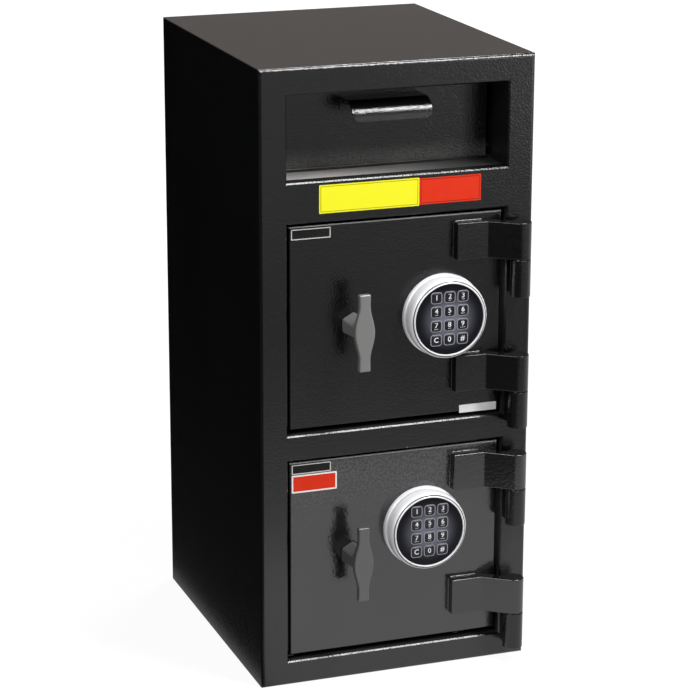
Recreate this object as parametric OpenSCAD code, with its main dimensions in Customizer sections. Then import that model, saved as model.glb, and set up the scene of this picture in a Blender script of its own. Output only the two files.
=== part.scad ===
// Front-loading drop safe with a tilting deposit hopper above two locked doors.
// Millimetres. +X is to the right of someone facing the safe, +Y goes in from
// the front and +Z is up. The origin is on the floor, at the centre of the
// anchor bolt pattern, which is also the centre of the body's footprint.

/* [Body] */
// Outside width
body_w = 356; // [340:1:420]
// Outside depth, without the handles
body_d = 406; // [390:1:500]
// Side, back, top and bottom plate
wall = 6.4; // [5:0.1:8]
// Front frame plate
frame_t = 18; // [15:0.5:22]
// Rounding of the upright outer edges
edge_r = 5; // [2:0.5:6]
// Rounding of the front frame's top and bottom edge
rim_r = 5; // [1:0.5:6]
// Rounding of the top plate's side and back edges
top_r = 1.5; // [0.5:0.1:2.5]
// Easing of the front edges of the three openings
arris = 1.8; // [0.6:0.1:2.5]
// Shelf between the two compartments
shelf_t = 5; // [3:0.5:8]

/* [Front layout] */
// Frame width beside the openings
side_border = 35; // [33:1:45]
// Frame height below the lower door
border_bottom = 32; // [24:1:40]
// Height of the lower door's opening
low_open_h = 265.5; // [245:0.5:300]
// Frame height between the two doors
band_mid = 32.5; // [26:0.5:44]
// Height of the upper door's opening
up_open_h = 267; // [245:0.5:300]
// Frame height between the upper door and the hopper
band_high = 51; // [44:1:70]
// Height of the hopper's opening
hop_open_h = 106; // [104:1:118]
// Frame height above the hopper
border_top = 33; // [26:1:50]

/* [Anchor holes] */
// Diameter of the floor's anchor holes
anchor_d = 12.7; // [9:0.1:16]
// Distance between the anchor holes, left to right
anchor_dx = 230; // [180:1:260]
// Distance between the anchor holes, front to back
anchor_dy = 260; // [200:1:300]

/* [Doors] */
// Door plate thickness
door_t = 12.7; // [10:0.1:14]
// Door face set back from the frame's face
door_inset = 6; // [3:0.5:8]
// Gap at each side of a door
door_gap = 4; // [3:0.5:6]
// Gap above a door
door_gap_top = 4.5; // [3:0.5:7]
// Gap below a door
door_gap_low = 6; // [3:0.5:8]
// Rounding of a door's front edges
door_edge_r = 2.5; // [1:0.5:4]

/* [Hinges] */
// Hinge axis to the right of the opening's edge
axis_beside = 11.5; // [10:0.5:12]
// Hinge axis in front of the frame's face
axis_out = 20; // [18:0.5:24]
// Diameter of the hinge barrels
barrel_d = 25.4; // [23:0.2:27]
// Diameter of the hinge pins
pin_d = 12.7; // [10:0.1:14]
// Height of the pins above the frame knuckles
pin_h = 33; // [20:1:38]
// Height of the door straps
strap_h = 46.5; // [44:0.5:52]
// Thickness of the door straps
strap_t = 12.7; // [10:0.1:14]
// Length of a strap's flat part, on the door
strap_flat = 41; // [30:1:60]
// Strap bend, from the hinge axis
strap_bend = 38.5; // [36:0.5:42]
// Upper strap, below the door's top
strap_from_top = 9.6; // [6:0.2:20]
// Lower strap, above the door's bottom
strap_from_low = 30.5; // [26:0.5:40]
// Length of the knuckles welded to the frame
knuckle_h = 47; // [36:0.5:50]
// Width of the web behind a frame knuckle
web_w = 13; // [9:0.5:16]
// Thrust washer on a frame knuckle
washer_t = 1; // [0.6:0.1:2]

/* [T handle] */
// Handle axis, left of the safe's centre
handle_left = 57; // [50:1:64]
// Length of the T bar
tbar_l = 97; // [80:1:104]
// Width of the T bar at its middle
tbar_mid = 27; // [22:0.5:32]
// Width of the T bar near its ends
tbar_end = 15.6; // [12:0.2:20]
// Thickness of the T bar
tbar_t = 9.5; // [7:0.5:12]
// Easing of the T bar's front edges
tbar_front = 1.4; // [0.6:0.1:2]
// Easing of the T bar's back edges
tbar_back = 0.8; // [0.4:0.1:1.5]
// Face of the T bar above the door's face
tbar_out = 46; // [42:1:54]
// Width of the stem's foot, across its points
stem_foot = 31; // [24:0.5:34]
// Width of the stem below the bar, across its points
stem_neck = 24; // [16:0.5:26]
// Diameter of the spindle through the door
spindle_d = 12; // [9:0.5:14]
// Turning range of the handle
handle_turn = 90; // [90:90]

/* [Boltwork] */
// Diameter of the locking bolts
bolt_d = 19; // [14:0.5:20]
// Distance between the locking bolts
bolt_pitch = 78; // [66:1:86]
// Bolt tips behind the door's edge when drawn back
bolt_back = 3.5; // [2:0.5:4]
// Radius of the crank pin's circle
crank_r = 16; // [12:0.5:16]
// Diameter of the crank pin
crank_pin_d = 6; // [4:0.5:7]
// Play of the crank pin in its slot, each side
crank_play = 0.6; // [0.6:0.05:1]
// Thickness of the crank
crank_t = 4; // [3:0.5:5]
// Thickness of the sliding plate
slide_t = 5; // [3:0.5:5]
// Width of the bar that carries the bolts
bar_w = 14; // [10:0.5:16]
// Bolt guide plate on the door
guide_t = 5; // [3:0.5:6]
// Radial play of a bolt in the guide plate
guide_play = 0.3; // [0.2:0.05:0.6]
// Diameter of the guide posts
post_d = 8; // [6:0.5:9]
// Reach of the dead bar behind the hinge-side border
dead_reach = 4.5; // [2:0.5:5]
// Half the height of the dead bar
dead_half = 90; // [60:1:100]

/* [Lock] */
// Width of the lock case
case_w = 61; // [56:1:66]
// Height of the lock case
case_h = 84; // [80:1:86]
// Depth of the lock case
case_t = 30; // [28:0.5:34]
// Wall of the lock case
case_wall = 3; // [2:0.5:4]
// Width of the lock's own bolt
nose_w = 12; // [8:0.5:13]
// Thickness of the lock's own bolt
nose_t = 6; // [4:0.5:7]
// Play of the lock's bolt and pin, each side
nose_play = 0.3; // [0.25:0.05:0.5]
// Radius of the drive pin's circle
drive_r = 7.2; // [7:0.1:7.4]
// Diameter of the drive pin
drive_pin_d = 4; // [3:0.5:4.5]

/* [Keypad] */
// Upper keypad, right of the safe's centre
up_pad_x = 60.8; // [54:0.2:70]
// Upper keypad above the door's middle
up_pad_rise = 2; // [-4:0.5:12]
// Lower keypad, right of the safe's centre
low_pad_x = 37.9; // [34:0.1:48]
// Lower keypad above the door's middle
low_pad_rise = 25.5; // [20:0.5:32]
// Diameter of the base on the door
base_d = 105; // [103:0.5:110]
// Thickness of the base
base_t = 6.5; // [5:0.5:9]
// Diameter of the turning ring's side
ring_d = 102; // [101:0.5:103]
// Diameter of the turning ring at its front
ring_front_d = 100; // [98:0.5:101]
// Front of the ring above the door's face
ring_out = 27; // [25:0.5:32]
// Diameter of the face disc
face_d = 89.6; // [88:0.2:91]
// Face below the ring's front
face_drop = 1.6; // [1:0.1:3]
// Outside diameter of the ring's hub tube
hub_d = 20; // [18.5:0.5:22]
// Diameter of the face's stem inside the hub
stem_d = 8; // [7:0.1:8.4]
// Width of a key cap
key_w = 12.2; // [11:0.1:12.6]
// Corner radius of a key cap
key_r = 2.6; // [1.5:0.1:3.5]
// Thickness of a key cap
key_t = 4; // [3:0.1:5]
// Key cap above the face
key_proud = 1.1; // [0.9:0.1:2]
// Key travel
key_travel = 0.8; // [0.5:0.1:1]
// Gap around a key cap
key_gap = 0.3; // [0.2:0.05:0.4]
// Key distance, left to right
key_dx = 17.5; // [15.5:0.1:18]
// Key distance, up and down
key_dz = 18; // [16:0.1:18.4]
// Key field above the face's centre
key_rise = 1.4; // [0:0.1:2.5]
// Width of the raised outline around a key
outline_w = 1; // [0.6:0.1:1.2]
// Height of the raised outline around a key
outline_h = 0.6; // [0.3:0.1:1]

/* [Hopper] */
// Panel's face behind the frame's face
panel_in = 60; // [58:1:64]
// Panel thickness
panel_t = 3; // [2:0.5:4]
// Gap at each side of the panel
panel_gap = 3.5; // [2.5:0.5:6]
// How far the panel reaches down behind the ledge
panel_low = 4; // [3:0.5:6]
// Slot between the ledge and the panel's face
panel_slot = 1.5; // [1:0.5:2]
// Gap above the panel
panel_gap_top = 5; // [4:0.5:8]
// Flanges folded back behind the panel
flange_d = 12; // [8:1:12]
// Flange and bucket sheet
sheet = 2; // [1.5:0.5:3]
// Gap between the pivot rod and the panel
rod_gap = 1; // [0.5:0.1:3]
// Hopper pivot above the ledge
pivot_up = 14; // [14:0.5:17]
// Diameter of the pivot rod
rod_d = 10; // [7:0.5:10]
// Radius of the bucket's side plates
bucket_r = 83; // [70:1:83]
// Slope of the bucket floor when closed
floor_slope = 25; // [15:1:30]
// Play between the bucket and the baffle
baffle_gap = 3; // [2:0.5:5]
// Housing sheet around the recess
hood_t = 3; // [2:0.5:4]
// Lip folded down behind the ledge
ledge_lip = 14; // [8:1:20]
// Low lip standing up along the back of the ledge
sill_lip = 3.5; // [2:0.5:5]

/* [Hopper pull] */
// Width of the pull
pull_w = 103; // [70:1:130]
// Centre of the pull, left of the safe's centre
pull_left = 4; // [-20:1:20]
// Flat part in front of the panel
pull_flat = 27; // [15:1:28]
// Radius of the pull's curved front
pull_r = 23.5; // [18:0.5:24]
// Pull's sheet
pull_t = 2; // [1.5:0.5:3]
// Top of the pull above the ledge
pull_up = 89.5; // [78:0.5:92]
// Corner radius at the pull's lower edge
pull_corner = 11; // [4:1:14]

/* [Clearances] */
// Radial clearance of the running pins
run_clear = 0.06; // [0.02:0.01:0.09]
// Gap between faces that turn past each other
face_gap = 0.25; // [0.2:0.05:0.3]

/* [Hidden] */
$fn = 32;
BLACK = [0.1, 0.1, 0.11];
DARK = [0.2, 0.2, 0.21];
SATIN = [0.62, 0.62, 0.63];
BRIGHT = [0.82, 0.82, 0.85];
ZINC = [0.72, 0.7, 0.62];
STEEL = [0.5, 0.51, 0.53];

// Depth behind the frame's face, as a Y place
function yin(d) = d - body_d / 2;

// Front layout, stacked from the floor up
low_z = border_bottom;
up_z = low_z + low_open_h + band_mid;
hop_z = up_z + up_open_h + band_high;
body_h = hop_z + hop_open_h + border_top;
open_w = body_w - 2 * side_border;
in_w = body_w - 2 * wall;
y_back = body_d / 2 - wall;
y_frame = yin(frame_t);
shelf_z = low_z + low_open_h + (band_mid - shelf_t) / 2;

// Doors
door_w = open_w - 2 * door_gap;
y_face = yin(door_inset);
y_door = yin(door_inset + door_t);
low_door = [low_z + door_gap_low, low_z + low_open_h - door_gap_top];
up_door = [up_z + door_gap_low, up_z + up_open_h - door_gap_top];
low_pad = [low_pad_x, (low_door[0] + low_door[1]) / 2 + low_pad_rise];
up_pad = [up_pad_x, (up_door[0] + up_door[1]) / 2 + up_pad_rise];

// Hinges
axis_x = open_w / 2 + axis_beside;
axis_y = yin(-axis_out);

// Boltwork: the bolts run just behind the frame plate and the door plate
y_lock = max(y_frame, y_door) + 0.8;
bolt_y = y_lock + bolt_d / 2;
bolt_tip = -door_w / 2 + bolt_back;
throw = 2 * crank_r * sin(handle_turn / 2);
guide_x = -door_w / 2 + bolt_back + 4.5;
bar_x = guide_x + guide_t + throw + 1;
nut_d = bolt_d / 2 + 7;
nut_t = 4.5;
crank_y = y_door + face_gap;
slide_y = crank_y + crank_t + 0.5;
handle_x = -handle_left;

// Lock
drive_throw = 2 * drive_r * sin(45);
tube_end = y_door + 6;
nose_y = tube_end + 0.5;
nose_start = 0.5;

// Keypad, as heights above the door's face
ring_back = base_t + face_gap;
groove_top = ring_back + 2;
bezel_out = ring_out - 6;
web_top = ring_back + 3;
face_back = web_top + 0.3;
face_out = ring_out - face_drop;

// Hopper
pivot_y = yin(panel_in + panel_t + rod_gap + rod_d / 2);
pivot_z = hop_z + pivot_up;
panel_w = open_w - 2 * panel_gap;
panel_z = [hop_z - panel_low, hop_z + hop_open_h - panel_gap_top];
baffle_r = bucket_r + baffle_gap;
hood_back = pivot_y + baffle_r + 2 * hood_t;
side_x = panel_w / 2 - sheet - 1;

// Flat shapes drawn in one plane and thickened along the other axis
module slab_x(a, b) {
  translate([a, 0, 0])
    rotate([90, 0, 90])
      linear_extrude(height = b - a)
        children();
}

module slab_y(a, b) {
  translate([0, b, 0])
    rotate([90, 0, 0])
      linear_extrude(height = b - a)
        children();
}

module slab_z(a, b) {
  translate([0, 0, a])
    linear_extrude(height = b - a)
      children();
}

// A block between two corners
module block(lo, hi) {
  translate(lo)
    cube(hi - lo);
}

module rod_x(x0, x1, y, z, d) {
  translate([x0, y, z])
    rotate([0, 90, 0])
      cylinder(h = x1 - x0, d = d);
}

// A round bar or cone along Y, from y0 (diameter d0) to y1 (diameter d1)
module rod_y(x, z, y0, y1, d0, d1 = undef) {
  translate([x, y0, z])
    rotate([-90, 0, 0])
      cylinder(h = y1 - y0, d1 = d0, d2 = is_undef(d1) ? d0 : d1);
}

module rod_z(x, y, z0, z1, d) {
  translate([x, y, z0])
    cylinder(h = z1 - z0, d = d);
}

// A rectangle about its centre, with round corners
module soft_rect(w, h, r) {
  square([w, h - 2 * r], center = true);
  square([w - 2 * r, h], center = true);
  for (sx = [-1, 1], sy = [-1, 1])
    translate([sx * (w / 2 - r), sy * (h / 2 - r)])
      circle(r = r);
}

// A plate's outline from a0 to a1, y0 to y1, with its two corners at y0 rounded
module eased(a0, a1, y0, y1, r) {
  translate([a0, y0 + r])
    square([a1 - a0, y1 - y0 - r]);
  translate([a0 + r, y0])
    square([a1 - a0 - 2 * r, y1 - y0]);
  for (a = [a0 + r, a1 - r])
    translate([a, y0 + r])
      circle(r = r);
}

// The same with only its corner at a0, y0 rounded
module eased_corner(a0, a1, y0, y1, r) {
  translate([a0, y0 + r])
    square([a1 - a0, y1 - y0 - r]);
  translate([a0 + r, y0])
    square([a1 - a0 - r, y1 - y0]);
  translate([a0 + r, y0 + r])
    circle(r = r);
}

// A plate facing the front, its upright edges rounded by rv, the others by rh
module eased_plate(x0, x1, z0, z1, y0, y1, rv, rh) {
  intersection() {
    slab_z(z0, z1)
      eased(x0, x1, y0, y1, rv);
    slab_x(x0, x1)
      mirror([1, -1, 0])
        eased(z0, z1, y0, y1, rh);
  }
}

// An opening through the front frame, with its front edge eased
module frame_opening(z, h) {
  block([-open_w / 2, yin(-1), z], [open_w / 2, y_frame + 1, z + h]);
  hull() {
    block([-open_w / 2 - arris - 1, yin(-1), z - arris - 1],
          [open_w / 2 + arris + 1, yin(-0.99), z + h + arris + 1]);
    block([-open_w / 2, yin(arris), z], [open_w / 2, yin(arris + 0.01), z + h]);
  }
}

// The fixed body

// The body's outline seen from the front: the top plate's side edges are rounded
module top_outline() {
  mirror([0, 1, 0])
    eased(-body_w / 2, body_w / 2, -body_h, 1, top_r);
}

module body_shell() {
  color(BLACK)
    difference() {
      intersection() {
        slab_z(0, body_h)
          mirror([0, 1, 0])
            eased(-body_w / 2, body_w / 2, -body_d / 2, -y_frame, edge_r);
        slab_y(y_frame, body_d / 2)
          top_outline();
        slab_x(-body_w / 2, body_w / 2)
          mirror([0, 1, 0])
            mirror([1, 0, 0])
              eased_corner(-body_d / 2, -y_frame, -body_h, 1, top_r);
      }
      block([-in_w / 2, y_frame - 1, wall], [in_w / 2, y_back, body_h - wall]);
      for (sx = [-1, 1], sy = [-1, 1])
        rod_z(sx * anchor_dx / 2, sy * anchor_dy / 2, -1, wall + 1, anchor_d);
    }
}

module front_frame() {
  color(BLACK)
    difference() {
      intersection() {
        eased_plate(-body_w / 2, body_w / 2, 0, body_h, yin(0), y_frame, edge_r, rim_r);
        slab_y(yin(-1), y_frame)
          top_outline();
      }
      frame_opening(low_z, low_open_h);
      frame_opening(up_z, up_open_h);
      frame_opening(hop_z, hop_open_h);
    }
}

module divider_shelf() {
  color(DARK)
    block([-in_w / 2, y_frame, shelf_z], [in_w / 2, y_back, shelf_z + shelf_t]);
}

// Recess behind the hopper's opening: two cheeks, a roof, the ledge and the
// curved baffle that the bucket closes against when the hopper is open
module hopper_housing() {
  roof = hop_z + hop_open_h;
  sill = yin(panel_in - panel_slot);
  from_a = 12;
  to_a = 67;
  color(DARK)
    difference() {
      union() {
        for (s = [-1, 1])
          block([s > 0 ? open_w / 2 : -open_w / 2 - hood_t, y_frame, hop_z - hood_t - ledge_lip],
                [s > 0 ? open_w / 2 + hood_t : -open_w / 2, hood_back, roof + hood_t]);
        block([-open_w / 2, y_frame, roof], [open_w / 2, hood_back, roof + hood_t]);
        block([-open_w / 2, y_frame, hop_z - hood_t], [open_w / 2, sill, hop_z]);
        block([-open_w / 2, sill - hood_t, hop_z - 1], [open_w / 2, sill, hop_z + sill_lip]);
        block([-open_w / 2, sill - hood_t, hop_z - hood_t - ledge_lip], [open_w / 2, sill, hop_z]);
        slab_x(-open_w / 2, open_w / 2)
          translate([pivot_y, pivot_z])
            intersection() {
              difference() {
                circle(r = baffle_r + hood_t, $fn = 96);
                circle(r = baffle_r, $fn = 96);
              }
              polygon([[0, 0], [200 * sin(from_a), 200 * cos(from_a)],
                       [200, 200], [200 * sin(to_a), 200 * cos(to_a)]]);
            }
        block([-open_w / 2, pivot_y + baffle_r * sin(from_a), pivot_z + baffle_r * cos(from_a)],
              [open_w / 2, pivot_y + baffle_r * sin(from_a) + hood_t, roof + 1]);
      }
      for (s = [-1, 1])
        rod_x(s * (open_w / 2 + hood_t / 2) - hood_t, s * (open_w / 2 + hood_t / 2) + hood_t,
              pivot_y, pivot_z, rod_d + 2 * run_clear);
    }
}

// Hinges

function strap_bottoms(door) = [door[0] + strap_from_low, door[1] - strap_from_top - strap_h];

// Frame knuckles: a barrel on a web welded to the frame, with its pin and washer
module pintles(door) {
  for (zb = strap_bottoms(door)) {
    top = zb - face_gap - washer_t;
    rod_z(axis_x, axis_y, top - knuckle_h, top, barrel_d);
    block([axis_x - web_w / 2, axis_y, top - knuckle_h], [axis_x + web_w / 2, yin(0), top]);
    rod_z(axis_x, axis_y, top, top + washer_t, barrel_d - 3.4);
    rod_z(axis_x, axis_y, top, zb + pin_h, pin_d);
  }
}

module upper_pintles() {
  color(BLACK) pintles(up_door);
}

module lower_pintles() {
  color(BLACK) pintles(low_door);
}

// Door straps: a bar on the door's face, bent forward and run into a barrel
module straps(door) {
  bend_out = strap_t - door_inset;
  rise = axis_out - bend_out;
  far = sqrt(strap_bend * strap_bend + rise * rise);
  lean = atan2(rise, strap_bend) + asin(barrel_d / 2 / far);
  tip = [axis_x - barrel_d / 2 * sin(lean), axis_out + barrel_d / 2 * cos(lean)];
  under = axis_out + (barrel_d / 2 - strap_t) * cos(lean);
  under_x = axis_x - (barrel_d / 2 - strap_t) * sin(lean);
  foot_x = under_x - (under + door_inset) / tan(lean);
  left = axis_x - strap_bend - strap_flat;
  for (zb = strap_bottoms(door))
    difference() {
      union() {
        slab_z(zb, zb + strap_h)
          polygon([[left, yin(door_inset)], [left, yin(-bend_out)],
                   [axis_x - strap_bend, yin(-bend_out)], [tip[0], yin(-tip[1])],
                   [under_x, yin(-under)], [foot_x, yin(door_inset)]]);
        rod_z(axis_x, axis_y, zb, zb + strap_h, barrel_d);
      }
      rod_z(axis_x, axis_y, zb - 1, zb + pin_h + 1, pin_d + 2 * run_clear);
    }
}

module upper_hinge_straps() {
  color(BLACK) straps(up_door);
}

module lower_hinge_straps() {
  color(BLACK) straps(low_door);
}

// Doors

module door_plate(door, pad) {
  hz = (door[0] + door[1]) / 2;
  difference() {
    eased_plate(-door_w / 2, door_w / 2, door[0], door[1], y_face, y_door, door_edge_r, door_edge_r);
    rod_y(handle_x, hz, y_face - 1, y_door + 1, spindle_d + 2 * run_clear);
    rod_y(pad[0], pad[1], y_face - 1, y_door + 1, hub_d + 2 * run_clear);
  }
}

module upper_door_plate() {
  color(BLACK) door_plate(up_door, up_pad);
}

module lower_door_plate() {
  color(BLACK) door_plate(low_door, low_pad);
}

// What is welded behind a door: bolt guide, dead bar and the slide's guide posts
function arm_top(pad) = pad[1] - case_h / 2 - 1.5;
function post_places(door, pad) = [[handle_x - 21, (door[0] + door[1]) / 2 - crank_r - 14],
                                   [handle_x + 42, arm_top(pad) - 14]];

module bolt_frame(door, pad) {
  hz = (door[0] + door[1]) / 2;
  half = bolt_pitch + bolt_d / 2 + 6;
  difference() {
    block([guide_x, y_door, hz - half], [guide_x + guide_t, bolt_y + bolt_d / 2 + 3, hz + half]);
    for (k = [-1:1])
      rod_x(guide_x - 1, guide_x + guide_t + 1, bolt_y, hz + k * bolt_pitch,
            bolt_d + 2 * guide_play);
  }
  block([door_w / 2 - 19, y_door, hz - dead_half], [door_w / 2 - 1, y_door + 12, hz + dead_half]);
  block([door_w / 2 - 2, y_lock + 1.2, hz - dead_half],
        [open_w / 2 + dead_reach, y_door + 12, hz + dead_half]);
  for (p = post_places(door, pad)) {
    rod_y(p[0], p[1], y_door, slide_y + slide_t + 0.5, post_d);
    rod_y(p[0], p[1], slide_y + slide_t + face_gap, slide_y + slide_t + 3, post_d + 7);
  }
}

module upper_bolt_frame() {
  color(STEEL) bolt_frame(up_door, up_pad);
}

module lower_bolt_frame() {
  color(STEEL) bolt_frame(low_door, low_pad);
}

// Lock case: a box over the lock's own bolt, open towards the door plate
module lock_case(pad) {
  inner_w = case_w - 2 * case_wall;
  inner_h = case_h - 2 * case_wall;
  difference() {
    slab_y(y_door, y_door + case_t)
      translate([pad[0], pad[1]])
        soft_rect(case_w, case_h, 4);
    block([pad[0] - inner_w / 2, y_door - 1, pad[1] - inner_h / 2],
          [pad[0] + inner_w / 2, y_door + case_t - case_wall, pad[1] + inner_h / 2]);
    block([pad[0] - nose_w / 2 - nose_play, nose_y - nose_play, pad[1] - case_h / 2 - 1],
          [pad[0] + nose_w / 2 + nose_play, nose_y + nose_t + nose_play, pad[1]]);
    rod_y(pad[0], pad[1], y_door + case_t - case_wall - 1, y_door + case_t + 1, stem_d);
  }
  for (sx = [-1, 1], sz = [-1, 1])
    rod_y(pad[0] + sx * (case_w / 2 - 8), pad[1] + sz * (case_h / 2 - 8),
          y_door + case_t - 0.5, y_door + case_t + 3, 8.5);
}

module upper_lock_case() {
  color(ZINC) lock_case(up_pad);
}

module lower_lock_case() {
  color(ZINC) lock_case(low_pad);
}

// T handles

// Half the T bar's width at s, from -1 at one end to 1 at the other
function tbar_half(s) =
  tbar_end / 2
  + (abs(s) < 0.66 ? (tbar_mid - tbar_end) / 2 * pow(cos(90 * abs(s) / 0.66), 1.6) : 0)
  + 0.5 * pow(abs(s), 8);

module tbar_outline() {
  steps = 24;
  half = tbar_l / 2;
  right = [for (i = [0:steps]) let (s = 2 * i / steps - 1) [tbar_half(s), s * (half - 1.2)]];
  left = [for (i = [steps:-1:0]) let (s = 2 * i / steps - 1) [-tbar_half(s), s * (half - 1.2)]];
  polygon(concat(right, [[0, half]], left, [[0, -half]]));
}

// A tapered edge of the T bar: the outline drawn in by ease over its depth
module tbar_edge(depth, ease) {
  linear_extrude(height = depth, slices = 1,
                 scale = [1 - 2 * ease / tbar_mid, 1 - 2 * ease / tbar_l])
    tbar_outline();
}

module t_handle(door) {
  hz = (door[0] + door[1]) / 2;
  y_bar = y_face - tbar_out;
  translate([handle_x, 0, hz]) {
    slab_y(y_bar + tbar_front, y_bar + tbar_t - tbar_back) tbar_outline();
    translate([0, y_bar + tbar_front, 0])
      rotate([90, 0, 0])
        tbar_edge(tbar_front, 1.8 * tbar_front);
    translate([0, y_bar + tbar_t - tbar_back, 0])
      rotate([-90, 0, 0])
        tbar_edge(tbar_back, 1.5 * tbar_back);
    translate([0, y_bar + tbar_t - 1, 0])
      rotate([-90, 0, 0])
        rotate([0, 0, 30])
          cylinder(h = tbar_out - tbar_t + 1 - face_gap, d1 = stem_neck, d2 = stem_foot, $fn = 6);
  }
  rod_y(handle_x, hz, y_face - 2, crank_y + crank_t, spindle_d);
}

module upper_t_handle() {
  color(SATIN) t_handle(up_door);
}

module lower_t_handle() {
  color(SATIN) t_handle(low_door);
}

// Crank on the spindle: its pin drives the bolts through a slot in the slide
module handle_crank(door) {
  hz = (door[0] + door[1]) / 2;
  px = handle_x + crank_r * sin(handle_turn / 2);
  pz = hz - crank_r * cos(handle_turn / 2);
  difference() {
    union() {
      rod_y(handle_x, hz, crank_y, crank_y + crank_t, 26);
      hull() {
        rod_y(handle_x, hz, crank_y, crank_y + crank_t, 18);
        rod_y(px, pz, crank_y, crank_y + crank_t, 13);
      }
    }
    rod_y(handle_x, hz, crank_y - 1, crank_y + crank_t + 1, spindle_d);
  }
  rod_y(px, pz, crank_y, slide_y + slide_t + 1.5, crank_pin_d);
}

module upper_handle_crank() {
  color(STEEL) handle_crank(up_door);
}

module lower_handle_crank() {
  color(STEEL) handle_crank(low_door);
}

// Boltwork

// A slot for a post, long enough for the slide's travel
module slide_slot(p) {
  for (dx = [0, throw])
    rod_y(p[0] + dx, p[1], slide_y - 1, slide_y + slide_t + 1, post_d + 0.8);
  block([p[0], slide_y - 1, p[1] - post_d / 2 - 0.4],
        [p[0] + throw, slide_y + slide_t + 1, p[1] + post_d / 2 + 0.4]);
}

// Slide: an upright bar that carries the bolts, a plate with the crank's slot
// and an arm with the two notches that the lock's own bolt drops into
module bolt_carriage(door, pad) {
  hz = (door[0] + door[1]) / 2;
  half = bolt_pitch + bolt_d / 2 + 3;
  px = handle_x + crank_r * sin(handle_turn / 2);
  top = arm_top(pad);
  plate_right = px + crank_pin_d / 2 + crank_play + 10;
  slot = crank_pin_d / 2 + crank_play;
  notch = nose_w / 2 + 2 * nose_play;
  notch_deep = drive_throw - nose_start - 1.5 + 0.8;
  difference() {
    union() {
      block([bar_x, slide_y - 3, hz - half], [bar_x + bar_w, bolt_y + bolt_d / 2, hz + half]);
      block([bar_x + bar_w - 1, slide_y, min(top - 24, hz - crank_r - 24)],
            [plate_right, slide_y + slide_t, hz - 5]);
      block([plate_right - 1, slide_y, top - 24],
            [pad[0] + throw + notch + 8, slide_y + slide_t, top]);
    }
    block([px - slot, slide_y - 1, hz - crank_r - slot], [px + slot, slide_y + slide_t + 1, hz]);
    for (dx = [0, throw])
      block([pad[0] + dx - notch, slide_y - 1, top - notch_deep],
            [pad[0] + dx + notch, slide_y + slide_t + 1, top + 1]);
    for (p = post_places(door, pad))
      slide_slot(p);
    for (k = [-1:1])
      rod_x(bar_x - 1, bar_x + bar_w + 1, bolt_y, hz + k * bolt_pitch, bolt_d / 2 + 2 * run_clear);
    block([bar_x + bar_w, slide_y - 1, hz - nut_d / 2 - 1],
          [bar_x + bar_w + nut_t + 4, slide_y + slide_t + 1, hz]);
  }
}

module upper_bolt_carriage() {
  color(ZINC) bolt_carriage(up_door, up_pad);
}

module lower_bolt_carriage() {
  color(ZINC) bolt_carriage(low_door, low_pad);
}

// Locking bolts: round bars with a shank through the slide's bar and a nut
module locking_bolts(door) {
  hz = (door[0] + door[1]) / 2;
  for (k = [-1:1]) {
    z = hz + k * bolt_pitch;
    translate([bolt_tip, bolt_y, z])
      rotate([0, 90, 0]) {
        cylinder(h = 2, d1 = bolt_d - 4, d2 = bolt_d);
        translate([0, 0, 2])
          cylinder(h = bar_x - bolt_tip - 2, d = bolt_d);
        cylinder(h = bar_x + bar_w - bolt_tip + nut_t + 1.5, d = bolt_d / 2);
        translate([0, 0, bar_x + bar_w - bolt_tip])
          cylinder(h = nut_t, d = nut_d, $fn = 6);
      }
  }
}

module upper_locking_bolts() {
  color(BRIGHT) locking_bolts(up_door);
}

module lower_locking_bolts() {
  color(BRIGHT) locking_bolts(low_door);
}

// The lock's own bolt: a yoke around the stem, moved by the ring's drive pin
module lock_bolt(pad) {
  bottom = pad[1] - case_h / 2 + nose_start;
  pin_z = drive_r * sin(45);
  slot = drive_pin_d / 2 + nose_play;
  stem_r = stem_d / 2 + nose_play;
  difference() {
    union() {
      block([pad[0] - 14, nose_y, pad[1] - 13], [pad[0] + 14, nose_y + nose_t, pad[1] + 21]);
      block([pad[0] - nose_w / 2, nose_y, bottom], [pad[0] + nose_w / 2, nose_y + nose_t, pad[1]]);
    }
    for (dz = [0, drive_throw])
      rod_y(pad[0], pad[1] + dz, nose_y - 1, nose_y + nose_t + 1, 2 * stem_r);
    block([pad[0] - stem_r, nose_y - 1, pad[1]],
          [pad[0] + stem_r, nose_y + nose_t + 1, pad[1] + drive_throw]);
    block([pad[0] - drive_r - slot, nose_y - 1, pad[1] + pin_z - slot],
          [pad[0], nose_y + nose_t + 1, pad[1] + pin_z + slot]);
  }
}

module upper_lock_bolt() {
  color(BRIGHT) lock_bolt(up_pad);
}

module lower_lock_bolt() {
  color(BRIGHT) lock_bolt(low_pad);
}

// Keypads

// A disc on the keypad's axis, between two heights above the door's face
module pad_disc(pad, out0, out1, d0, d1 = undef) {
  rod_y(pad[0], pad[1], y_face - out1, y_face - out0, is_undef(d1) ? d0 : d1, d0, $fn = 96);
}

module keypad_base(pad) {
  difference() {
    union() {
      pad_disc(pad, 0, base_t - 1, base_d);
      pad_disc(pad, base_t - 1, base_t, base_d, base_d - 2);
    }
    rod_y(pad[0], pad[1], y_face - base_t - 1, y_face + 1, hub_d + 2 * run_clear);
  }
}

module upper_keypad_base() {
  color(SATIN) keypad_base(up_pad);
}

module lower_keypad_base() {
  color(SATIN) keypad_base(low_pad);
}

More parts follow.
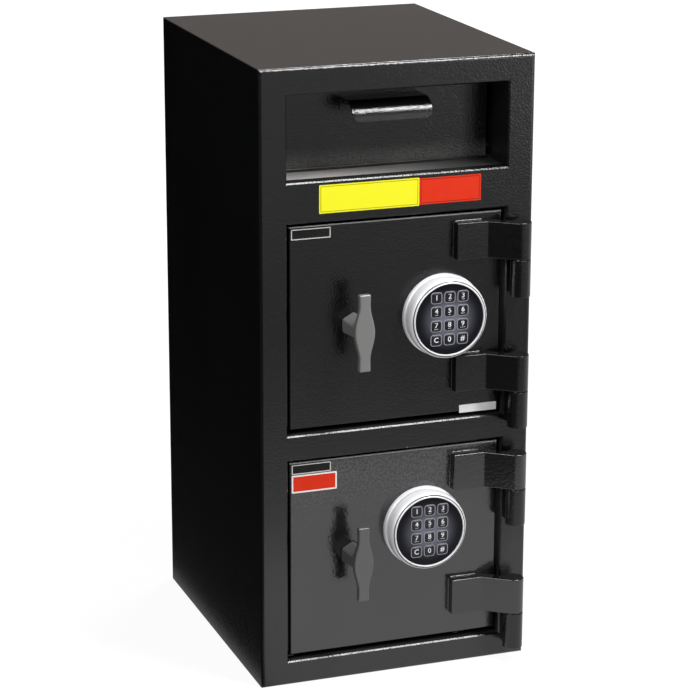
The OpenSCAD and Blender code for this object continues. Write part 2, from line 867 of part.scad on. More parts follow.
// Turning ring: a bezel on a web, a hub tube through the door and its drive pin
module dial_ring(pad) {
  difference() {
    union() {
      pad_disc(pad, ring_back, groove_top, ring_d - 5);
      pad_disc(pad, groove_top, groove_top + 0.8, ring_d - 1.6, ring_d);
      pad_disc(pad, groove_top + 0.8, bezel_out, ring_d);
      pad_disc(pad, bezel_out, ring_out - 1.2, ring_d, ring_front_d);
      pad_disc(pad, ring_out - 1.2, ring_out, ring_front_d, ring_front_d - 2.4);
      rod_y(pad[0], pad[1], y_face - ring_back, tube_end, hub_d);
    }
    pad_disc(pad, web_top, ring_out + 1, face_d + 0.6);
    pad_disc(pad, ring_out - 1, ring_out + 0.01, face_d + 0.6, face_d + 2.2);
    rod_y(pad[0], pad[1], y_face - web_top - 1, tube_end + 1, stem_d + 0.6);
  }
  rod_y(pad[0] - drive_r * cos(45), pad[1] + drive_r * sin(45),
        tube_end - 1, nose_y + nose_t + 1, drive_pin_d);
}

module upper_dial_ring() {
  color(BRIGHT) dial_ring(up_pad);
}

module lower_dial_ring() {
  color(BRIGHT) dial_ring(low_pad);
}

// Centre of the key in column c (0 to 2) and row r (0 at the top)
function key_place(pad, c, r) = [pad[0] + (c - 1) * key_dx, pad[1] + key_rise + (1.5 - r) * key_dz];

// The face: a disc with a pocket and a raised outline for each key, on a stem
module keypad_face(pad) {
  pocket = key_w + 2 * key_gap;
  rim = pocket + 2 * outline_w;
  floor_out = face_out - (key_t - key_proud) - key_travel - 0.2;
  difference() {
    union() {
      pad_disc(pad, face_back, face_out - 0.4, face_d);
      pad_disc(pad, face_out - 0.4, face_out, face_d, face_d - 0.8);
      for (c = [0:2], r = [0:3])
        slab_y(y_face - face_out - outline_h, y_face - face_out + 1)
          translate(key_place(pad, c, r))
            soft_rect(rim, rim, key_r + key_gap + outline_w);
      rod_y(pad[0], pad[1], y_face - face_back - 1, y_door + case_t, stem_d);
    }
    for (c = [0:2], r = [0:3])
      slab_y(y_face - face_out - outline_h - 1, y_face - floor_out)
        translate(key_place(pad, c, r))
          soft_rect(pocket, pocket, key_r + key_gap);
  }
}

module upper_keypad_face() {
  color(BLACK) keypad_face(up_pad);
}

module lower_keypad_face() {
  color(BLACK) keypad_face(low_pad);
}

// One key cap, its front edge stepped in a little
module key_cap(pad, c, r) {
  front = y_face - face_out - key_proud;
  color([0.07, 0.07, 0.09])
    translate([key_place(pad, c, r)[0], 0, key_place(pad, c, r)[1]]) {
      slab_y(front + 0.5, front + key_t) soft_rect(key_w, key_w, key_r);
      slab_y(front, front + key_t) soft_rect(key_w - 1, key_w - 1, key_r - 0.5);
    }
}

module upper_key_1() { key_cap(up_pad, 0, 0); }
module upper_key_2() { key_cap(up_pad, 1, 0); }
module upper_key_3() { key_cap(up_pad, 2, 0); }
module upper_key_4() { key_cap(up_pad, 0, 1); }
module upper_key_5() { key_cap(up_pad, 1, 1); }
module upper_key_6() { key_cap(up_pad, 2, 1); }
module upper_key_7() { key_cap(up_pad, 0, 2); }
module upper_key_8() { key_cap(up_pad, 1, 2); }
module upper_key_9() { key_cap(up_pad, 2, 2); }
module upper_key_c() { key_cap(up_pad, 0, 3); }
module upper_key_0() { key_cap(up_pad, 1, 3); }
module upper_key_hash() { key_cap(up_pad, 2, 3); }
module lower_key_1() { key_cap(low_pad, 0, 0); }
module lower_key_2() { key_cap(low_pad, 1, 0); }
module lower_key_3() { key_cap(low_pad, 2, 0); }
module lower_key_4() { key_cap(low_pad, 0, 1); }
module lower_key_5() { key_cap(low_pad, 1, 1); }
module lower_key_6() { key_cap(low_pad, 2, 1); }
module lower_key_7() { key_cap(low_pad, 0, 2); }
module lower_key_8() { key_cap(low_pad, 1, 2); }
module lower_key_9() { key_cap(low_pad, 2, 2); }
module lower_key_c() { key_cap(low_pad, 0, 3); }
module lower_key_0() { key_cap(low_pad, 1, 3); }
module lower_key_hash() { key_cap(low_pad, 2, 3); }

// The tilting hopper

module hopper_panel() {
  half = panel_w / 2;
  y0 = yin(panel_in);
  color(BLACK)
    difference() {
      union() {
        eased_plate(-half, half, panel_z[0], panel_z[1], y0, y0 + panel_t, 1.5, 1);
        for (s = [-1, 1])
          block([s > 0 ? half - sheet : -half, y0 + panel_t - 1, hop_z + 4],
                [s > 0 ? half : -half + sheet, y0 + panel_t + flange_d, panel_z[1] - 0.5]);
        block([-half, y0 + panel_t - 1, panel_z[1] - sheet - 0.5],
              [half, y0 + panel_t + flange_d, panel_z[1] - 0.5]);
      }
      rod_x(-half - 1, half + 1, pivot_y, pivot_z, rod_d + 2 * run_clear);
    }
}

// Bucket: a sloping floor that runs over the pivot rod, between two cheeks
module hopper_bucket() {
  front = yin(panel_in + panel_t) - pivot_y;
  under = (rod_d / 2 + 1) / cos(floor_slope);
  thick = sheet / cos(floor_slope);
  near = [front, under - front * tan(floor_slope)];
  reach = bucket_r - 1 - thick;
  slope = [cos(floor_slope), -sin(floor_slope)];
  mid = near * slope;
  far = near + slope * (sqrt(mid * mid + reach * reach - near * near) - mid);
  color(DARK)
    difference() {
      union() {
        slab_x(-side_x, side_x)
          translate([pivot_y, pivot_z])
            polygon([near, far, far + [0, thick], near + [0, thick]]);
        for (s = [-1, 1])
          slab_x(s > 0 ? side_x - sheet : -side_x, s > 0 ? side_x : -side_x + sheet)
            translate([pivot_y, pivot_z])
              intersection() {
                union() {
                  circle(r = rod_d / 2 + 5);
                  intersection() {
                    circle(r = bucket_r, $fn = 96);
                    polygon([near, far, [bucket_r, far[1]], [bucket_r, bucket_r], [front, bucket_r]]);
                  }
                }
                translate([front, -bucket_r])
                  square(2 * bucket_r);
              }
      }
      rod_x(-side_x - 1, side_x + 1, pivot_y, pivot_z, rod_d);
    }
}

// Pull: a sheet that comes straight out of the panel and curls down
module hopper_pull() {
  y0 = yin(panel_in);
  top = hop_z + pull_up;
  bend_y = y0 - pull_flat;
  mid = -pull_left;
  color(BLACK)
    intersection() {
      slab_x(mid - pull_w / 2, mid + pull_w / 2)
        union() {
          translate([bend_y, top - pull_t])
            square([pull_flat, pull_t]);
          translate([y0 - pull_t, top - 16])
            square([pull_t, 16]);
          translate([bend_y, top - pull_r])
            intersection() {
              difference() {
                circle(r = pull_r, $fn = 96);
                circle(r = pull_r - pull_t, $fn = 96);
              }
              translate([-pull_r - 1, 0])
                square([pull_r + 1, pull_r + 1]);
            }
        }
      union() {
        slab_y(bend_y, y0 + 1)
          translate([mid, top - 10])
            square([pull_w + 2, 40], center = true);
        slab_y(bend_y - pull_r - 1, bend_y + 0.5)
          translate([mid, top])
            soft_rect(pull_w, 2 * pull_r, pull_corner);
      }
    }
}

module hopper_pivot_rod() {
  color(STEEL)
    rod_x(-open_w / 2 - hood_t, open_w / 2 + hood_t, pivot_y, pivot_z, rod_d);
}

body_shell();
front_frame();
hopper_housing();
divider_shelf();
upper_pintles();
lower_pintles();
hopper_panel();
hopper_bucket();
hopper_pull();
hopper_pivot_rod();
upper_door_plate();
upper_hinge_straps();
upper_bolt_frame();
upper_lock_case();
upper_keypad_base();
upper_keypad_face();
upper_t_handle();
upper_handle_crank();
upper_bolt_carriage();
upper_locking_bolts();
upper_dial_ring();
upper_lock_bolt();
lower_door_plate();
lower_hinge_straps();
lower_bolt_frame();
lower_lock_case();
lower_keypad_base();
lower_keypad_face();
lower_t_handle();
lower_handle_crank();
lower_bolt_carriage();
lower_locking_bolts();
lower_dial_ring();
lower_lock_bolt();
upper_key_1();
upper_key_2();
upper_key_3();
upper_key_4();
upper_key_5();
upper_key_6();
upper_key_7();
upper_key_8();
upper_key_9();
upper_key_c();
upper_key_0();
upper_key_hash();
lower_key_1();
lower_key_2();
lower_key_3();
lower_key_4();
lower_key_5();
lower_key_6();
lower_key_7();
lower_key_8();
lower_key_9();
lower_key_c();
lower_key_0();
lower_key_hash();
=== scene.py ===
"""Looks of a front-loading drop safe: paint, chrome, keypads, plates, light and camera.

Metres, in the CAD's frame: +X is to the right of someone facing the safe, +Y goes in
from the front and +Z is up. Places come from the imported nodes' own boxes.
"""

import logging
import math
from contextlib import contextmanager
from dataclasses import dataclass
from enum import Enum
from typing import Any, Callable, ClassVar, Iterator, Sequence

import bmesh
import bpy
from mathutils import Matrix, Quaternion, Vector


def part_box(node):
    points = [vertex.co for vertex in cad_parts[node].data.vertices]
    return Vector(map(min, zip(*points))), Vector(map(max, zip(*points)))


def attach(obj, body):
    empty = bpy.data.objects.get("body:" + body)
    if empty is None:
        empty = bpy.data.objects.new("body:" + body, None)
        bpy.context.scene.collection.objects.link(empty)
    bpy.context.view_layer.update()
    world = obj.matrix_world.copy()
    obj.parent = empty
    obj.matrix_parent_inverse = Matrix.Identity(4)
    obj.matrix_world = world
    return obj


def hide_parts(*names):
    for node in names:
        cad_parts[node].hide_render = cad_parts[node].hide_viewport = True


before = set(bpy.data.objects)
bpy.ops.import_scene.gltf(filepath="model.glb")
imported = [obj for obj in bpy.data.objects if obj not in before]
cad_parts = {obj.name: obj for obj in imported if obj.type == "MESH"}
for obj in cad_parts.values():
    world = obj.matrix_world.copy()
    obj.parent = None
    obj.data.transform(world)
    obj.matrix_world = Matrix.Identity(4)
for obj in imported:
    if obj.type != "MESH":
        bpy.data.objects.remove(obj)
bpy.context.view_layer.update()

Colour = tuple[float, float, float]
Pair = tuple[float, float]
Triple = tuple[float, float, float]
MM = 0.001
HAIR = 0.01 * MM
QUARTER = math.pi / 2
log = logging.getLogger("safe")


def low(node: str) -> Vector:
    """The lowest corner of a CAD node at rest."""
    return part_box(node)[0]


def high(node: str) -> Vector:
    """The highest corner of a CAD node at rest."""
    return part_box(node)[1]


def middle(node: str) -> Vector:
    """The centre of a CAD node's box at rest."""
    return (low(node) + high(node)) / 2


def faces_out(face: Any) -> bool:
    """Whether a face looks out of the front."""
    return face.normal.y < -0.9


def depth_of(edge: Any) -> float:
    """How far an edge runs from front to back."""
    return abs(edge.verts[0].co.y - edge.verts[1].co.y)


# Hand tools


class Pick(Enum):
    """What is picked on a piece in edit mode."""

    CORNERS = "VERT"
    EDGES = "EDGE"
    FACES = "FACE"


def clear_bench() -> None:
    """Leaves edit mode and deselects every object."""
    if bpy.context.mode != "OBJECT":
        bpy.ops.object.mode_set(mode="OBJECT")
    bpy.ops.object.select_all(action="DESELECT")


def pick_all() -> None:
    """Picks all of the piece in edit mode."""
    bpy.ops.mesh.select_all(action="SELECT")


def turn_outwards() -> None:
    """Turns every face of the piece in edit mode outwards."""
    pick_all()
    bpy.ops.mesh.normals_make_consistent(inside=False)


def draw_on(move: Triple, scale: Triple, about: Triple) -> None:
    """Draws the picked end on by a move, and scales it about a point."""
    bpy.ops.mesh.extrude_region_move(TRANSFORM_OT_translate={"value": move})
    bpy.ops.transform.resize(value=scale, center_override=about)


class Workpiece:
    """A mesh on the bench, shaped with hand tools where it stands."""

    def __init__(self, name: str, obj: bpy.types.Object | None = None) -> None:
        """Takes an object, names it and puts its place into its mesh.

        Args:
            name: The piece's name.
            obj: The object, or None for the one that was just added.
        """
        self.obj: bpy.types.Object = obj or bpy.context.object
        self.obj.name = name
        self.obj.data.name = name
        self.hold()
        bpy.ops.object.transform_apply(location=True, rotation=True, scale=True)

    def hold(self) -> None:
        """Makes this piece the only one selected."""
        clear_bench()
        self.obj.select_set(True)
        bpy.context.view_layer.objects.active = self.obj

    @contextmanager
    def editing(self, kind: Pick = Pick.FACES) -> Iterator[None]:
        """Edit mode on this piece alone.

        Args:
            kind: What the tools pick first.
        """
        self.hold()
        bpy.ops.object.mode_set(mode="EDIT")
        bpy.ops.mesh.select_mode(type=kind.value)
        yield
        bpy.ops.object.mode_set(mode="OBJECT")

    def pick(self, kind: Pick, test: Callable[[Any], bool]) -> None:
        """Selects the elements that pass a test, and nothing else.

        Args:
            kind: Corners, edges or faces.
            test: Says of each element whether it is picked.
        """
        bpy.ops.mesh.select_mode(type=kind.value)
        bpy.ops.mesh.select_all(action="DESELECT")
        made = bmesh.from_edit_mesh(self.obj.data)
        kinds = {Pick.CORNERS: made.verts, Pick.EDGES: made.edges, Pick.FACES: made.faces}
        for element in kinds[kind]:
            if test(element):
                element.select_set(True)
        made.select_flush_mode()
        bmesh.update_edit_mesh(self.obj.data)

    def pick_arrises(self, angle: float) -> None:
        """Selects the edges that turn by more than an angle in degrees."""
        limit = math.radians(angle)
        self.pick(
            Pick.EDGES, lambda e: len(e.link_faces) == 2 and e.calc_face_angle() > limit
        )

    @classmethod
    def block(cls, name: str, lo: Sequence[float], hi: Sequence[float]) -> "Workpiece":
        """A block between two corners.

        Args:
            name: The piece's name.
            lo: Its lowest corner.
            hi: Its highest corner.

        Returns:
            The new piece.
        """
        a, b = Vector(lo), Vector(hi)
        clear_bench()
        bpy.ops.mesh.primitive_cube_add(size=1, location=(a + b) / 2, scale=b - a)
        return cls(name)

    @classmethod
    def plate(cls, name: str, centre: Sequence[float], width: float, depth: float) -> "Workpiece":
        """A level rectangle.

        Args:
            name: The piece's name.
            centre: Its centre.
            width: Its size along X.
            depth: Its size along Y.

        Returns:
            The new piece.
        """
        clear_bench()
        bpy.ops.mesh.primitive_plane_add(size=1, location=centre)
        bpy.context.object.scale = (width, depth, 1)
        return cls(name)

    @classmethod
    def rod(cls, name: str, radius: float, start: Vector, end_y: float, sides: int) -> "Workpiece":
        """A round rod along Y.

        Args:
            name: The piece's name.
            radius: Its radius.
            start: The middle of its front end.
            end_y: The Y place of its back end.
            sides: Sides of the round.

        Returns:
            The new piece.
        """
        clear_bench()
        bpy.ops.mesh.primitive_cylinder_add(
            vertices=sides,
            radius=radius,
            depth=end_y - start.y,
            location=(start.x, (start.y + end_y) / 2, start.z),
            rotation=(QUARTER, 0, 0),
        )
        return cls(name)

    @classmethod
    def turned(
        cls, name: str, centre: Vector, profile: Sequence[Pair], sides: int
    ) -> "Workpiece":
        """A piece turned about an axis along Y, from a closed outline.

        Args:
            name: The piece's name.
            centre: A point of the axis.
            profile: Radius and Y place of each corner of the outline, in order.
            sides: Sides of the round.

        Returns:
            The new piece.
        """
        radius, y = profile[0]
        clear_bench()
        bpy.ops.mesh.primitive_circle_add(
            vertices=sides,
            radius=radius,
            fill_type="NOTHING",
            location=(centre.x, y, centre.z),
            rotation=(QUARTER, 0, 0),
        )
        piece = cls(name)
        with piece.editing(Pick.EDGES):
            pick_all()
            for next_radius, next_y in profile[1:]:
                grow = next_radius / radius
                bpy.ops.mesh.extrude_edges_move(
                    TRANSFORM_OT_translate={"value": (0, next_y - y, 0)}
                )
                bpy.ops.transform.resize(
                    value=(grow, 1, grow), center_override=(centre.x, next_y, centre.z)
                )
                radius, y = next_radius, next_y
            bpy.ops.mesh.select_all(action="DESELECT")
            bpy.ops.mesh.select_non_manifold()
            bpy.ops.mesh.bridge_edge_loops()
            turn_outwards()
        return piece

    @classmethod
    def drawn_up(cls, name: str, foot: Vector, sections: Sequence[Triple]) -> "Workpiece":
        """A bar drawn up from a rectangle, wider or thinner at each section.

        Args:
            name: The piece's name.
            foot: Centre of the lower end.
            sections: Width, thickness and height above the foot of each section.

        Returns:
            The new piece.
        """
        (width, thick, height), *others = sections
        piece = cls.plate(name, foot, width, thick)
        with piece.editing():
            pick_all()
            for w, t, h in others:
                about = (foot.x, foot.y, foot.z + h)
                draw_on((0, 0, h - height), (w / width, t / thick, 1), about)
                width, thick, height = w, t, h
            turn_outwards()
        return piece

    @classmethod
    def copied(cls, name: str, source: bpy.types.Object, move: Sequence[float]) -> "Workpiece":
        """A copy of an object with a mesh of its own, free of its body.

        Args:
            name: The copy's name.
            source: The object, at rest.
            move: How far the copy is moved.

        Returns:
            The copy.
        """
        copy = source.copy()
        copy.data = source.data.copy()
        copy.parent = None
        copy.matrix_world = Matrix.Translation(move)
        for key in [key for key in copy.keys() if key.startswith("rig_")]:
            del copy[key]
        bpy.context.scene.collection.objects.link(copy)
        return cls(name, copy)

    @classmethod
    def from_nodes(cls, name: str, *nodes: str) -> "Workpiece":
        """A clean copy of CAD nodes as one closed mesh, with flat faces made whole.

        Args:
            name: The piece's name.
            *nodes: The CAD nodes it is made from, face to face where there are more.

        Returns:
            The new piece, which stands for the nodes.
        """
        parts = []
        for node in nodes:
            part_name = f"{name}_{len(parts)}" if parts else name
            part = cls.copied(part_name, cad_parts[node], (0, 0, 0))
            with part.editing(Pick.CORNERS):
                pick_all()
                bpy.ops.mesh.customdata_custom_splitnormals_clear()
                bpy.ops.mesh.remove_doubles(threshold=0.002 * MM)
            parts.append(part)
        whole, *others = parts
        for other in others:
            whole.unite(other)
        with whole.editing():
            pick_all()
            bpy.ops.mesh.faces_shade_flat()
            bpy.ops.mesh.dissolve_limited(angle_limit=math.radians(0.4))
        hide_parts(*nodes)
        return whole

    def work(self, kind: str, **settings: Any) -> None:
        """Adds a modifier with its settings, and applies it.

        Args:
            kind: The modifier's type.
            **settings: Its settings.
        """
        self.hold()
        made = self.obj.modifiers.new(kind.lower(), kind)
        for key, value in settings.items():
            setattr(made, key, value)
        bpy.ops.object.modifier_apply(modifier=made.name)

    def unite(self, other: "Workpiece") -> None:
        """Makes one closed mesh of this piece and another, which is used up."""
        self.work("BOOLEAN", operation="UNION", solver="EXACT", object=other.obj)
        bpy.data.objects.remove(other.obj)

    def join(self, *others: "Workpiece") -> None:
        """Joins other pieces to this one, each with its own materials.

        Args:
            *others: The other pieces.
        """
        self.hold()
        for other in others:
            other.obj.select_set(True)
        bpy.ops.object.join()

    def take(self, *finishes: "Finish") -> None:
        """Gives the piece these finishes, in order, and no other.

        Args:
            *finishes: The finishes.
        """
        self.obj.data.materials.clear()
        for finish in finishes:
            self.obj.data.materials.append(finish.material())

    def coat_picked(self, index: int) -> None:
        """Gives the picked faces the finish with this index."""
        self.obj.active_material_index = index
        bpy.ops.object.material_slot_assign()

    def second_coat(self, finish: "Finish", test: Callable[[Any], bool]) -> None:
        """Gives the faces that pass a test a finish of their own.

        Args:
            finish: Their finish.
            test: Says of each face whether it takes it.
        """
        self.obj.data.materials.append(finish.material())
        with self.editing():
            self.pick(Pick.FACES, test)
            self.coat_picked(len(self.obj.data.materials) - 1)

    def soften(self, width: float, segments: int = 2, angle: float = 28.0) -> None:
        """Rounds every arris.

        Args:
            width: Width of the rounding.
            segments: Its steps.
            angle: Edges that turn by less, in degrees, are left.
        """
        self.work(
            "BEVEL",
            width=width,
            segments=segments,
            limit_method="ANGLE",
            angle_limit=math.radians(angle),
            use_clamp_overlap=True,
        )

    def smooth(self, angle: float = 35.0, weigh: bool = True) -> None:
        """Shades the piece smooth up to an angle, with its flats kept flat.

        Args:
            angle: Edges that turn by more, in degrees, stay sharp.
            weigh: Whether large faces hold their own direction.
        """
        self.hold()
        bpy.ops.object.shade_smooth_by_angle(angle=math.radians(angle))
        if weigh:
            self.work("WEIGHTED_NORMAL", keep_sharp=True)

    def paint(self, finish: "Finish", body: str) -> None:
        """Gives the piece its finish and the CAD body that it rides on.

        Args:
            finish: Its first or only finish.
            body: The body's name.
        """
        if self.obj.data.materials:
            self.obj.data.materials[0] = finish.material()
        else:
            self.obj.data.materials.append(finish.material())
        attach(self.obj, body)
        log.info("%s: %d faces on %s", self.obj.name, len(self.obj.data.polygons), body)


# Shader wiring


class Wiring:
    """A node tree that is being wired, for a material, the world or a shared effect."""

    def __init__(self, tree: bpy.types.NodeTree) -> None:
        """Starts from an empty tree."""
        self.tree = tree
        tree.nodes.clear()

    def node(self, kind: str, inputs: dict[Any, Any] | None = None, **settings: Any) -> Any:
        """Adds a node.

        Args:
            kind: The node's type, without the words that all types start with.
            inputs: For each input, a value or the socket that feeds it.
            **settings: The node's own settings.

        Returns:
            The new node.
        """
        made = self.tree.nodes.new(f"ShaderNode{kind}")
        for key, value in settings.items():
            setattr(made, key, value)
        for key, value in (inputs or {}).items():
            self.feed(made, key, value)
        return made

    def feed(self, node: Any, key: Any, value: Any) -> None:
        """Feeds a node's input from a socket, or sets it to a value.

        Args:
            node: The node.
            key: The input's name or number.
            value: The socket or the value.
        """
        if isinstance(value, bpy.types.NodeSocket):
            self.tree.links.new(value, node.inputs[key])
        else:
            node.inputs[key].default_value = value

    def math(self, operation: str, a: Any, b: Any, clamp: bool = False) -> Any:
        """A Math node's result of two values or sockets."""
        made = self.node("Math", {0: a, 1: b}, operation=operation, use_clamp=clamp)
        return made.outputs[0]

    def plus(self, a: Any, b: Any) -> Any:
        """The sum of two values or sockets."""
        return self.math("ADD", a, b)

    def times(self, a: Any, b: Any) -> Any:
        """The product of two values or sockets."""
        return self.math("MULTIPLY", a, b)

    def noise(self, place: Any, scale: Any, detail: float = 2.0, rough: float = 0.5) -> Any:
        """A noise value over a place, with so many features a metre."""
        inputs = {"Vector": place, "Scale": scale, "Detail": detail, "Roughness": rough}
        return self.node("TexNoise", inputs).outputs["Fac"]

    def range(
        self, value: Any, start: float, end: float, first: float = 0.0, last: float = 1.0
    ) -> Any:
        """Maps a value smoothly from one range to another."""
        inputs = {"Value": value, 1: start, 2: end, 3: first, 4: last}
        return self.node("MapRange", inputs, interpolation_type="SMOOTHSTEP").outputs[0]

    def blend(self, mask: Any, a: Any, b: Any) -> Any:
        """A colour between two, by a mask.

        Args:
            mask: The socket of the mask.
            a: The colour, or its socket, where the mask is 0.
            b: The colour, or its socket, where the mask is 1.

        Returns:
            The socket of the blended colour.
        """
        ends = [c if isinstance(c, bpy.types.NodeSocket) else (*c, 1.0) for c in (a, b)]
        made = self.node("Mix", {0: mask, 6: ends[0], 7: ends[1]}, data_type="RGBA")
        return made.outputs[2]

    def place(self) -> Any:
        """The point on the piece in its own coordinates."""
        return self.node("TexCoord").outputs["Object"]

    def axes(self, vector: Any) -> Any:
        """The X, Y and Z of a vector, as sockets."""
        return self.node("SeparateXYZ", {"Vector": vector}).outputs

    def length(self, vector: Any) -> Any:
        """The length of a vector."""
        return self.node("VectorMath", {0: vector}, operation="LENGTH").outputs["Value"]

    def bump(self, shader: Any, height: Any, depth: float, strength: float) -> None:
        """Raises a shader's surface by a height."""
        inputs = {"Strength": strength, "Distance": depth, "Height": height}
        self.feed(shader, "Normal", self.node("Bump", inputs).outputs[0])


class Effect:
    """An effect that several finishes share, as a shader group that is built once."""

    name: ClassVar[str]
    inputs: ClassVar[dict[str, str]]
    outputs: ClassVar[Sequence[str]]

    def group(self) -> bpy.types.NodeTree:
        """The effect's shader group, built the first time it is asked for.

        Returns:
            The group.
        """
        found = bpy.data.node_groups.get(self.name)
        if found:
            return found
        made = bpy.data.node_groups.new(self.name, "ShaderNodeTree")
        for key, kind in self.inputs.items():
            made.interface.new_socket(name=key, in_out="INPUT", socket_type=kind)
        for key in self.outputs:
            made.interface.new_socket(name=key, in_out="OUTPUT", socket_type="NodeSocketFloat")
        w = Wiring(made)
        start, end = made.nodes.new("NodeGroupInput"), made.nodes.new("NodeGroupOutput")
        for key, value in self.wire(w, start.outputs).items():
            w.feed(end, key, value)
        return made

    def put(self, w: Wiring, **values: Any) -> Any:
        """Places the effect in a material, and gives its outputs."""
        return w.node("Group", values, node_tree=self.group()).outputs

    def wire(self, w: Wiring, given: Any) -> dict[str, Any]:
        """Wires the inside of the group, from its inputs to each output."""
        raise NotImplementedError


class PaintSkin(Effect):
    """The skin of a sprayed powder coat: small domes, slow waves and fine flecks."""

    name = "paint_skin"
    inputs = {"Place": "NodeSocketVector", "Cell": "NodeSocketFloat"}
    outputs = ("Height", "Mottle", "Fleck")

    def wire(self, w: Wiring, given: Any) -> dict[str, Any]:
        """Domes with grit and waves on them, mottling and flecks.

        Args:
            w: The group's wiring.
            given: Place, and Cell as domes a metre.

        Returns:
            What feeds each output.
        """
        place, cell = given["Place"], given["Cell"]
        domes = w.node(
            "TexVoronoi",
            {"Vector": place, "Scale": cell, "Smoothness": 0.7, "Randomness": 1.0},
            feature="SMOOTH_F1",
        ).outputs["Distance"]
        grit = w.noise(place, w.times(cell, 2.3))
        wave = w.noise(place, 55.0, 1.0)
        height = w.plus(w.times(domes, -0.75), w.times(grit, 0.45))
        return {
            "Height": w.plus(height, w.times(wave, 0.6)),
            "Mottle": w.range(w.noise(place, 9.0, 4.0, 0.6), 0.3, 0.7),
            "Fleck": w.range(w.noise(place, 1400.0, 1.0), 0.62, 0.74),
        }


class Handling(Effect):
    """Soft smudges and rubbed streaks from handling, as masks."""

    name = "handling"
    inputs = {"Place": "NodeSocketVector"}
    outputs = ("Smudge", "Streak")

    def wire(self, w: Wiring, given: Any) -> dict[str, Any]:
        """Round smudges, and streaks that are long, thin and askew.

        Args:
            w: The group's wiring.
            given: Place.

        Returns:
            What feeds each output.
        """
        place = given["Place"]
        askew = w.node("Mapping", {"Vector": place, "Rotation": (0.4, 0.3, 0.5)}).outputs[0]
        thin = w.node("VectorMath", {0: askew, 1: (18, 160, 620)}, operation="MULTIPLY")
        return {
            "Smudge": w.range(w.noise(place, 22.0, 5.0, 0.65), 0.42, 0.68),
            "Streak": w.range(w.noise(thin.outputs[0], 1.0, 3.0, 0.6), 0.66, 0.74),
        }


# Finishes


@dataclass(frozen=True)
class Finish:
    """What every finish has: a name, a slot of the record, a colour and a shader's values."""

    name: str
    slot: str
    colour: Colour
    roughness: float
    metallic: float = 0.0
    specular: float = 0.5

    def material(self) -> bpy.types.Material:
        """The finish as a material, wired the first time it is asked for.

        Returns:
            The material.
        """
        found = bpy.data.materials.get(self.name)
        if found:
            return found
        made = bpy.data.materials.new(self.name)
        made.use_nodes = True
        made.diffuse_color = (*self.colour, 1.0)
        w = Wiring(made.node_tree)
        values = {
            "Base Color": (*self.colour, 1.0),
            "Roughness": self.roughness,
            "Metallic": self.metallic,
            "Specular IOR Level": self.specular,
        }
        shader = w.node("BsdfPrincipled", values)
        w.node("OutputMaterial", {"Surface": shader.outputs[0]})
        self.wire(w, shader)
        return made

    def wire(self, w: Wiring, shader: Any) -> None:
        """Adds what is special to this finish.

        Args:
            w: The material's wiring.
            shader: Its Principled node.
        """


@dataclass(frozen=True)
class PowderCoat(Finish):
    """A sprayed coat with an orange-peel skin, flecks and a little handling."""

    cell: float = 430.0
    depth: float = 0.25 * MM
    lift: Colour = (0.014, 0.014, 0.015)
    mottle: float = 0.12
    fleck: float = 0.3
    smudge: float = 0.015
    streak: float = 0.03

    def wire(self, w: Wiring, shader: Any) -> None:
        """Skin, mottling and handling."""
        place = w.place()
        skin = PaintSkin().put(w, Place=place, Cell=self.cell)
        touch = Handling().put(w, Place=place)
        tone = w.blend(w.times(skin["Mottle"], self.mottle), self.colour, self.lift)
        tone = w.blend(w.times(skin["Fleck"], self.fleck), tone, self.lift)
        w.feed(shader, "Base Color", self.wear(w, place, tone))
        rough = w.plus(w.times(touch["Smudge"], self.smudge), self.roughness - 0.01)
        streaks = w.times(touch["Streak"], self.streak)
        w.feed(shader, "Roughness", w.math("ADD", rough, streaks, clamp=True))
        w.bump(shader, skin["Height"], self.depth, 1.0)

    def wear(self, w: Wiring, place: Any, tone: Any) -> Any:
        """The coat's tone with painted light added, which a plain coat doesn't have."""
        return tone


@dataclass(frozen=True)
class PaintedLightCoat(PowderCoat):
    """A coat with painted light: paler towards one side, in specks, where light falls on it."""

    axis: str = "X"
    light_full_at: float = 0.0
    light_none_at: float = 0.1
    pale: Colour = (0.2, 0.19, 0.18)
    speckle: float = 0.5
    specks_a_metre: float = 700.0

    def wear(self, w: Wiring, place: Any, tone: Any) -> Any:
        """Blends to the pale tone of the painted light by place, broken up into specks.

        Args:
            w: The material's wiring.
            place: The point on the piece.
            tone: The coat's tone before the painted light.

        Returns:
            The tone with the painted light.
        """
        along = w.axes(place)[self.axis]
        light_share = w.range(along, self.light_full_at, self.light_none_at, 1.0, 0.0)
        grain = w.noise(place, self.specks_a_metre, 3.0, 0.7)
        specks = w.range(grain, 0.42, 0.6, 1.0 - self.speckle, 1.0)
        return w.blend(w.times(light_share, specks), tone, self.pale)


@dataclass(frozen=True)
class Metal(Finish):
    """Bare or plated metal, with a fine grain and handling."""

    metallic: float = 1.0
    grain: float = 900.0
    depth: float = 0.01 * MM
    dull: Colour = (0.4, 0.4, 0.42)

    def wire(self, w: Wiring, shader: Any) -> None:
        """Grain and dull patches."""
        place = w.place()
        grain = w.noise(place, self.grain, 3.0, 0.6)
        smudge = Handling().put(w, Place=place)["Smudge"]
        w.feed(shader, "Base Color", w.blend(w.times(smudge, 0.3), self.colour, self.dull))
        rough = w.plus(w.times(grain, 0.08), self.roughness - 0.04)
        w.feed(shader, "Roughness", w.math("ADD", rough, w.times(smudge, 0.06), clamp=True))
        w.bump(shader, grain, self.depth, 0.6)


@dataclass(frozen=True)
class Moulding(Finish):
    """Moulded plastic with a faint skin."""

    def wire(self, w: Wiring, shader: Any) -> None:
        """A faint skin, and handling in the gloss."""
        place = w.place()
        smudge = Handling().put(w, Place=place)["Smudge"]
        w.feed(shader, "Roughness", w.plus(w.times(smudge, 0.08), self.roughness))
        w.bump(shader, w.noise(place, 1600.0), 0.01 * MM, 0.5)


